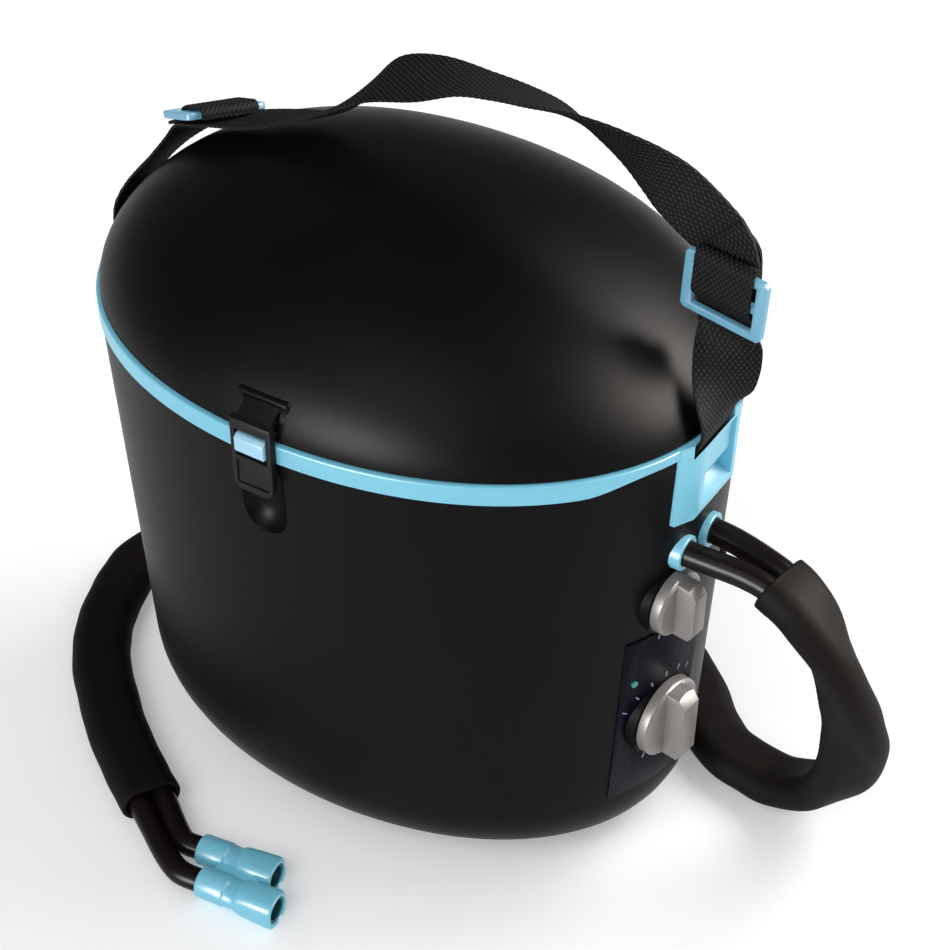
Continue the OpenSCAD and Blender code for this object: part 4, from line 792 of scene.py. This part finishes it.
def turned(place, *turns):
    """A placing made of turns in degrees about named axes, first the outermost."""
    result = Matrix.Translation(place)
    for degrees, axis in turns:
        result = result @ Matrix.Rotation(math.radians(degrees), 4, axis)
    return result


RIGHT_PLACE = turned((137.8, -5.3, 284.2), (-10, "Z"), (2, "Y"), (90, "Z"), (-90, "Y"))
LEFT_PLACE = turned((-98.5, 1.5, 286), (-22.7, "Z"), (-21, "Y"), (-8, "X"))


def woven_webbing():
    """Over-and-under cells of a plain weave, from the piece's own UV map; the raised cells carry
    a painted highlight, broken up by lint.
    """
    group, given, out = effect(
        "woven_webbing",
        [("Across", NUMBER, 56.0), ("Along", NUMBER, 400.0), ("Dark", COLOUR, (0, 0, 0, 1)),
         ("Light", COLOUR, (0.1, 0.1, 0.1, 1))],
        [("Colour", COLOUR), ("Roughness", NUMBER), ("Normal", VECTOR)])
    nodes, links = group.nodes, group.links
    uv = nodes.new("ShaderNodeUVMap")
    part = nodes.new("ShaderNodeSeparateXYZ")
    links.new(uv.outputs[0], part.inputs[0])
    u = math_node(group, "MULTIPLY", part.outputs[0], given.outputs["Across"])
    v = math_node(group, "MULTIPLY", part.outputs[1], given.outputs["Along"])
    wave = math_node(group, "MULTIPLY",
                     math_node(group, "COSINE", math_node(group, "MULTIPLY", u, math.pi)),
                     math_node(group, "COSINE", math_node(group, "MULTIPLY", v, math.pi)))
    raised = math_node(group, "MULTIPLY_ADD", wave, 0.5, 0.5)
    painted_sheen_mask = math_node(group, "POWER", raised, 4.0)
    place = nodes.new("ShaderNodeTexCoord")
    lint = nodes.new("ShaderNodeTexNoise")
    lint.inputs["Scale"].default_value = LINT_SCALE
    lint.inputs["Detail"].default_value = 3
    links.new(place.outputs["Object"], lint.inputs["Vector"])
    # Painted highlight: the tops of the raised cells are painted towards the lighter colour,
    # broken up by fibre lint.
    shade = math_node(group, "MULTIPLY", painted_sheen_mask,
                      math_node(group, "MULTIPLY_ADD", lint.outputs["Fac"], 1.2, 0.4))
    mix = nodes.new("ShaderNodeMix")
    mix.data_type = "RGBA"
    links.new(shade, mix.inputs["Factor"])
    dark, light = [socket for socket in mix.inputs if socket.type == "RGBA"]
    links.new(given.outputs["Dark"], dark)
    links.new(given.outputs["Light"], light)
    mixed = [socket for socket in mix.outputs if socket.type == "RGBA"][0]
    links.new(mixed, out.inputs["Colour"])
    links.new(math_node(group, "MULTIPLY_ADD", lint.outputs["Fac"], 0.25, 0.6),
              out.inputs["Roughness"])
    bump = nodes.new("ShaderNodeBump")
    bump.inputs["Distance"].default_value = WEAVE_HEIGHT
    bump.inputs["Strength"].default_value = 0.5
    links.new(math_node(group, "MULTIPLY_ADD", lint.outputs["Fac"], 0.3, raised),
              bump.inputs["Height"])
    links.new(bump.outputs[0], out.inputs["Normal"])
    return group


WOVEN = woven_webbing()


def webbing(name, stations):
    """A woven ribbon: raised and sunk cells alternate over both faces."""
    line = flowing([s[:3] for s in stations], WEB_STEPS)
    widths = flowing([s[3:] for s in stations], WEB_STEPS)
    picked, run = [0], 0.0
    for j in range(1, len(line)):
        run += (line[j] - line[j - 1]).length
        if run >= WEB_PITCH:
            picked.append(j)
            run = 0.0
    picked[-1] = len(line) - 1
    rows = []
    for row, j in enumerate(picked):
        ahead = heading(line, j)
        side = widths[j] - widths[j].dot(ahead) * ahead
        side.normalize()
        up = ahead.cross(side)
        ring = []
        for face in (1, -1):
            for k in range(CELLS + 1):
                u = (-1 + 2 * k / CELLS) * face
                out, half = ((WEB_WIDTH / 2, 0.35 * WEB_THICK) if k in (0, CELLS)
                             else (WEB_WIDTH / 2 - EDGE_CELL, 0.5 * WEB_THICK))
                lift = RAISED_CELL if (row + k) % 2 else SUNK_CELL
                ring.append(line[j] + u * out * side + face * (half + lift) * up)
        rows.append(ring)
    piece = formed(name, rows)
    smooth_shaded(piece, WEB_SMOOTH)
    material = bpy.data.materials.new(name + "_weave")
    material.use_nodes = True
    tree = material.node_tree
    shader = tree.nodes["Principled BSDF"]
    weave = tree.nodes.new("ShaderNodeGroup")
    weave.node_tree = WOVEN
    weave.inputs["Across"].default_value = 2 * (CELLS + 1)
    weave.inputs["Along"].default_value = len(rows) - 1
    # The dark colour is the webbing's own black; the lighter one is a painted highlight on the
    # raised cells.
    weave.inputs["Dark"].default_value = (0.0015, 0.0015, 0.002, 1)
    weave.inputs["Light"].default_value = (0.04, 0.04, 0.045, 1)
    for label, socket in SURFACE_SOCKETS:
        tree.links.new(weave.outputs[label], shader.inputs[socket])
    shader.inputs["Specular IOR Level"].default_value = 0.08
    coat_with(piece, material)
    return piece


def threaded(place):
    """Stations of the short run that weaves over and under an adjuster's bars."""
    return [(*(place @ Vector((x, 0, z))), *(place.to_3x3() @ Vector((0, 1, 0))))
            for x, z in WEAVE]


strap = webbing("carry_strap", STRAP)
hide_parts("strap_webbing")
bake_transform(strap)
for name, stations in (("strap_cut_end", CUT_END),
                       ("right_adjuster_loop", threaded(RIGHT_PLACE)),
                       ("left_adjuster_loop", threaded(LEFT_PLACE))):
    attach(webbing(name, stations), "strap")
for side in ("right", "left"):
    edged_copy("strap_glide_" + side, side + "_adjuster",
               moulded(side + "_adjuster_blue", (0.16, 0.44, 0.62), 0.4, unevenness=0.12,
                       depth=0.1), "strap", 0.7)

# Hinge: two black leaves on a steel pin at the back, screwed to the tub.
hinge_black = moulded("hinge_black", (0.01, 0.01, 0.011), 0.45, unevenness=0.2, depth=0.15)
edged_copy("hinge_body_leaf", "tub_hinge_leaf", hinge_black, "body", 0.25, 2)
edged_copy("hinge_lid_leaf", "lid_hinge_leaf", hinge_black, "lid", 0.25, 2)
for node in ("hinge_pin", "hinge_screws", "deck_screws"):
    coat_with(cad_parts[node], steel)

# Underside and inside: a bonded rubber foot, the foam-backed tank and lid, and the dry bay
# at the control end with its pump, heater, board and tubes.
INSIDE = {
    "base_pad": ((0.02, 0.02, 0.02), 0.8), "power_socket": ((0.012, 0.012, 0.013), 0.4),
    "reservoir_liner": ((0.68, 0.7, 0.7), 0.3), "lid_liner": ((0.68, 0.7, 0.7), 0.3),
    "insulation_foam": ((0.7, 0.6, 0.32), 0.85), "lid_foam": ((0.7, 0.6, 0.32), 0.85),
    "lid_gasket": ((0.02, 0.02, 0.02), 0.7), "bay_wall": ((0.5, 0.5, 0.48), 0.5),
    "bay_deck": ((0.5, 0.5, 0.48), 0.5), "equipment_tray": ((0.5, 0.5, 0.48), 0.5),
    "control_board": ((0.01, 0.12, 0.04), 0.4), "pump_body": ((0.02, 0.02, 0.022), 0.45),
    "pump_impeller": ((0.6, 0.6, 0.57), 0.4), "supply_tube": ((0.6, 0.64, 0.65), 0.3),
    "suction_tube": ((0.6, 0.64, 0.65), 0.3), "return_tube": ((0.6, 0.64, 0.65), 0.3),
    "strainer": ((0.6, 0.6, 0.57), 0.5)}
for node, (colour, gloss_loss) in INSIDE.items():
    coat_with(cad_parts[node], moulded(node + "_finish", colour, gloss_loss))
coat_with(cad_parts["heater_block"], moulded("heater_aluminium", (0.6, 0.61, 0.63), 0.35,
                                                  metallic=1.0))

# Studio: a white floor and an even pale surround, two panels that only show as sheen on the
# black mouldings, and two faint lamps, one behind and one in front, that shade the rest.
FLOOR_SIZE = 12
LAMP_AIM = Vector((0, 0, 0.15))
AIR_SEEN = 1.0
AIR_LIT = 0.5
AIR_GLOSSY = 0.2
bpy.ops.object.select_all(action="DESELECT")
bpy.ops.mesh.primitive_plane_add(size=FLOOR_SIZE, location=(0, 0, 0))
floor = bpy.context.object
floor.name = "studio_floor"
coat_with(floor, moulded("floor_white", (0.86, 0.86, 0.86), 0.7, unevenness=0.01, grain=40,
                         depth=0.0, specular=0.1, glow=0.3))


def lamp(name, place, size, power, tint=(1, 1, 1), sheen_only=False):
    """A square soft box aimed at the machine; a sheen-only one is seen in reflections alone."""
    bpy.ops.object.light_add(type="AREA", location=place)
    light = bpy.context.object
    light.name = name
    light.data.size = size
    light.data.energy = power
    light.data.color = tint
    light.visible_diffuse = not sheen_only
    light.rotation_euler = (LAMP_AIM - light.location).to_track_quat("-Z", "Y").to_euler()


lamp("right_sheen_panel", (1.2, 0.66, 0.93), 1.1, 150, (1.0, 0.92, 0.86), sheen_only=True)
lamp("low_sheen_panel", (-0.3, -2.2, 0.44), 0.9, 125, sheen_only=True)
lamp("back_lamp", (0.9, 1.1, 1.5), 1.2, 22)
lamp("front_lamp", (0.1, -1.7, 1.9), 1.4, 20)
world = bpy.data.worlds.new("studio_air")
bpy.context.scene.world = world
world.use_nodes = True
tree = world.node_tree
air = tree.nodes["Background"]
air.inputs["Color"].default_value = (1, 1, 1, 1)
path = tree.nodes.new("ShaderNodeLightPath")
seen = math_node(tree, "MULTIPLY_ADD", path.outputs["Is Camera Ray"], AIR_SEEN - AIR_LIT,
                 AIR_LIT)
strength = math_node(tree, "MULTIPLY_ADD", path.outputs["Is Glossy Ray"], AIR_GLOSSY - AIR_LIT,
                     seen)
tree.links.new(strength, air.inputs["Strength"])
bpy.context.scene.view_settings.view_transform = "Standard"
